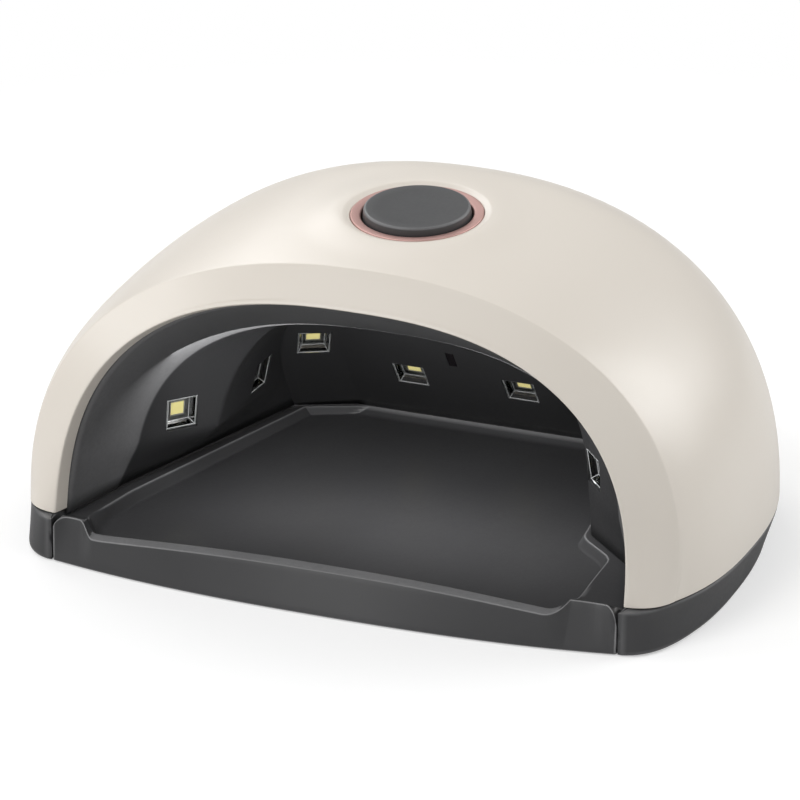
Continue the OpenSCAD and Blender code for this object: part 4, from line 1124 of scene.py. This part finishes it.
def turned(profile):
    """A closed ring or disc turned round the button's axis from a profile of radius and height."""
    bm = bmesh.new()
    verts = [bm.verts.new((radius * MM, 0, height * MM)) for radius, height in profile]
    edges = [bm.edges.new(pair) for pair in zip(verts, verts[1:])]
    if profile[0][0] > 0:
        edges.append(bm.edges.new((verts[-1], verts[0])))
    bmesh.ops.spin(bm, geom=[*verts, *edges], axis=(0, 0, 1), cent=(0, 0, 0), angle=2 * math.pi,
                   steps=TURN_STEPS, use_merge=True)
    bmesh.ops.remove_doubles(bm, verts=bm.verts, dist=1e-6)
    bmesh.ops.recalc_face_normals(bm, faces=bm.faces)
    place = button_place.copy()
    place.translation *= MM
    bmesh.ops.transform(bm, matrix=place, verts=bm.verts)
    # Bent edges get a painted highlight, where the finish has one.
    mark_highlight_edges(bm)
    return bm


def rounded_profile(corners, soft, arc=5):
    """A profile with rounded corners, as radius and height."""
    points = rounded_line([Vector((r, 0, z)) for r, z in corners], soft, [1] * (len(corners) - 1), arc)
    return [(p.x, p.z) for p in points]


# Corners of the profiles as radius and height, then how far each is rounded.
FLANGE_TOP = -3.7
cap = rounded_profile(
    [(0, 1.25), (9.0, 1.3), (15.95, 1.6), (16.35, -1.2), (16.35, FLANGE_TOP), (17.6, FLANGE_TOP),
     (17.6, FLANGE_TOP - 1.2), (0, FLANGE_TOP - 1.2)],
    [3.0, 0.75, 0.5, 0.1, 0.2, 0.2],
)
make_piece("button_cap", turned(cap), BUTTON, ["power_button"], "button", 40.0)
ring = rounded_profile(
    [(17.2, -3.4), (20.0, -3.4), (20.0, -0.62), (19.78, -0.42), (17.25, -0.62), (16.9, -0.95),
     (16.9, -3.4), (17.2, -3.4)],
    [0.1, 0.12, 0.12, 0.15, 0.15, 0.1], 3,
)
make_piece("button_ring", turned(ring[:-1]), ROSE, ["button_trim_ring"], "lamp", 40.0)

# ---- lenses and chips ----

# Side, thickness and middle height of the lens block and the chip, in the lamp's frame.
LENS_BLOCK, CHIP_BLOCK = (10.2, 3.1, 1.65), (5.0, 1.1, 4.05)
# Width and depth of the steps in the face of each, from the outside inward.
LENS_STEPS, CHIP_STEPS = [(0.55, 0.12), (1.75, 2.1)], [(0.45, 0.0), (0.12, 0.18)]


def stepped_block(side, depth, middle, steps):
    """A square block with steps in its face that looks into the cavity, and the innermost face."""
    bm = bmesh.new()
    bmesh.ops.create_cube(bm, size=1.0)
    place = Matrix.Translation((0, 0, middle)) @ Matrix.Diagonal((side, side, depth, 1))
    bmesh.ops.transform(bm, matrix=place, verts=bm.verts)
    face = min(bm.faces, key=lambda f: f.calc_center_median().z)
    for width, sunk in steps:
        bmesh.ops.inset_region(bm, faces=[face], thickness=width)
        bmesh.ops.translate(bm, vec=(0, 0, sunk), verts=list(face.verts))
    return bm, face


def lens_body():
    """A square block of clear plastic with a funnel in its face."""
    return stepped_block(*LENS_BLOCK, LENS_STEPS)[0]


def chip_body():
    """A pale square package with a yellow phosphor window in its face."""
    bm, face = stepped_block(*CHIP_BLOCK, CHIP_STEPS)
    face.material_index = 1
    return bm


def placed(bm, place):
    """Scales a small part to metres and puts it in its place."""
    bmesh.ops.transform(bm, matrix=Matrix.Scale(MM, 4) @ place, verts=bm.verts)
    bmesh.ops.recalc_face_normals(bm, faces=bm.faces)
    return bm


for (name, side), place in lamps.items():
    hand = "left" if side < 0 else "right"
    spot = f"{hand}_{name}"
    lens = make_piece(f"clear_{spot}", placed(lens_body(), place), LENS, [f"lens_{spot}"], "lamp", 10.0)
    soften(lens, 0.14, 20.0).material = 1
    chip = make_piece(f"chip_{spot}", placed(chip_body(), place), CHIP, [f"led_{spot}"], "lamp", 20.0)
    soften(chip, 0.06, 30.0)

# ---- small parts kept from the solid model ----

LAMP_BOARDS = ("left_front", "left_side", "left_corner", "rear", "right_corner", "right_side",
               "right_front")
# Finish, body and width of the softened edges, in millimetres.
SMALL_PARTS = {
    "switch_plunger": (SWITCH, "switch", 0.3),
    "switch_body": (BLACK, "lamp", 0.2),
    "control_board": (GREEN, "lamp", 0.1),
    "control_chip": (BLACK, "lamp", 0.1),
    "capacitor": (SLEEVE, "lamp", 0.4),
    **{f"board_{spot}": (WHITE, "lamp", 0.1) for spot in LAMP_BOARDS},
    "sensor_window": (WINDOW, "lamp", 0.15),
    "hand_sensor": (BLACK, "lamp", 0.15),
    "dc_inlet": (BLACK, "lamp", 0.2),
    "body_screws": (STEEL, "lamp", 0.15),
    "board_screws": (STEEL, "lamp", 0.15),
    "body_feet": (RUBBER, "lamp", 0.3),
    "tray_feet": (RUBBER, "tray", 0.3),
    "tray_magnets": (NICKEL, "tray", 0.2),
    "body_magnets": (NICKEL, "lamp", 0.2),
}
FLAT_BEND = math.radians(0.6)


def finished_copy(node, finish, body, width):
    """A merged copy of a solid's mesh with smooth rounds and softened edges."""
    bm = bmesh.new()
    bm.from_mesh(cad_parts[node].data)
    bmesh.ops.remove_doubles(bm, verts=bm.verts, dist=1e-6)
    bmesh.ops.dissolve_limit(bm, angle_limit=FLAT_BEND, verts=bm.verts, edges=bm.edges)
    soften(make_piece(f"fine_{node}", bm, finish, [node], body), width, 40.0)


for node, (finish, body, width) in SMALL_PARTS.items():
    finished_copy(node, finish, body, width)

# ---- floor, light and camera ----

PURE_WHITE = (1.0, 1.0, 1.0)
FLOOR_SEEN, FLOOR_GLOW, FLOOR_BOUNCE = 0.62, 0.45, 0.7
FLOOR_FADE = (0.16, 0.42)
FLOOR_RADIUS = 6.0
WORLD_STRENGTH = 0.38


def seen_by_camera(tree):
    """1 for rays from the camera, also through clear pieces, and 0 for the others."""
    rays = add_node(tree, "ShaderNodeLightPath").outputs
    return arithmetic(tree, "MAXIMUM", rays["Is Camera Ray"], rays["Is Transmission Ray"])


def mixed(tree, share, first, second):
    return add_node(tree, "ShaderNodeMixShader", share, first, second).outputs[0]


def floor_material():
    """Pale floor that shows white to the camera away from the object and keeps its shadow near it."""
    material, tree, shader = new_material("pale floor")
    tree.nodes.remove(shader)

    def diffuse(level):
        return add_node(tree, "ShaderNodeBsdfDiffuse", (level, level, level)).outputs[0]

    def glow(strength):
        return add_node(tree, "ShaderNodeEmission", PURE_WHITE, strength).outputs[0]

    near = add_node(tree, "ShaderNodeAddShader", diffuse(FLOOR_SEEN), glow(FLOOR_GLOW)).outputs[0]
    length = add_node(tree, "ShaderNodeVectorMath", object_place(tree), operation="LENGTH")
    fade = remap(tree, length.outputs["Value"], *FLOOR_FADE, 0.0, 1.0)
    seen = mixed(tree, fade, near, glow(1.0))
    top = mixed(tree, seen_by_camera(tree), diffuse(FLOOR_BOUNCE), seen)
    below = add_node(tree, "ShaderNodeNewGeometry").outputs["Backfacing"]
    clear = add_node(tree, "ShaderNodeBsdfTransparent").outputs[0]
    feed(tree, mixed(tree, below, top, clear), tree.nodes["Material Output"].inputs["Surface"])
    return material


def studio_floor():
    bm = bmesh.new()
    bmesh.ops.create_circle(bm, cap_ends=True, radius=FLOOR_RADIUS, segments=64)
    floor = object_from("floor", bm)
    floor.data.materials.append(floor_material())


def studio_world():
    """Even light from all sides, which shows pure white to the camera."""
    world = bpy.context.scene.world or bpy.data.worlds.new("studio")
    bpy.context.scene.world = world
    world.use_nodes = True
    tree = world.node_tree
    light = tree.nodes["Background"]
    feed_named(tree, light, {"Color": PURE_WHITE, "Strength": WORLD_STRENGTH})
    white = add_node(tree, "ShaderNodeBackground", PURE_WHITE, 1.0)
    whole = mixed(tree, seen_by_camera(tree), light.outputs[0], white.outputs[0])
    feed(tree, whole, tree.nodes["World Output"].inputs["Surface"])


# Place in metres, size and power of the soft boxes round the lamp.
LIGHT_TARGET = (0, 0, 0.04)
SOFT_BOXES = {
    "front light": ((-0.55, -1.0, 1.25), (0.8, 0.8), 9.5),
    "left light": ((-1.3, -0.3, 0.8), (0.8, 0.8), 5.8),
    "right light": ((1.3, -0.3, 0.8), (0.8, 0.8), 2.4),
    "right back light": ((0.9, 0.8, 0.9), (0.8, 0.8), 5.0),
    "low back light": ((0.95, 0.98, 0.72), (0.7, 0.8), 3.6),
    "left back light": ((-0.9, 0.8, 0.9), (0.8, 0.8), 5.2),
}


def look_along(thing, place, way):
    """Puts a light or a camera in its place, looking along a direction."""
    thing.location = place
    thing.rotation_mode = "QUATERNION"
    thing.rotation_quaternion = way.to_track_quat("-Z", "Y")
    bpy.context.scene.collection.objects.link(thing)


def soft_box(name, position, target, size, power):
    """A studio light with a square or oblong face, which looks at a target."""
    data = bpy.data.lights.new(name, "AREA")
    data.shape = "RECTANGLE"
    data.size, data.size_y = size
    data.energy = power
    lamp = bpy.data.objects.new(name, data)
    lamp.visible_camera = False
    look_along(lamp, position, Vector(target) - Vector(position))
    return lamp


studio_floor()
studio_world()
for name, (position, size, power) in SOFT_BOXES.items():
    soft_box(name, position, LIGHT_TARGET, size, power)
# A faint fill inside the cavity, which throws no highlights.
cavity_light = soft_box("cavity light", (0, -0.040, 0.062), (0, 0.03, 0.008), (0.13, 0.04), 0.1)
cavity_light.visible_glossy = cavity_light.visible_transmission = False

YAW, PITCH = math.radians(22.10), math.radians(22.44)
CAMERA_PLACE, FOCAL_LENGTH = (0.6203, -1.5497, 0.7259), 268.0
camera_data = bpy.data.cameras.new("camera")
camera_data.sensor_width = 36.0
camera_data.lens = FOCAL_LENGTH
camera_data.clip_start, camera_data.clip_end = 0.1, 20.0
camera = bpy.data.objects.new("camera", camera_data)
camera_way = Vector((
    -math.sin(YAW) * math.cos(PITCH), math.cos(YAW) * math.cos(PITCH), -math.sin(PITCH),
))
look_along(camera, CAMERA_PLACE, camera_way)
bpy.context.scene.camera = camera
bpy.context.scene.view_settings.view_transform = "Standard"
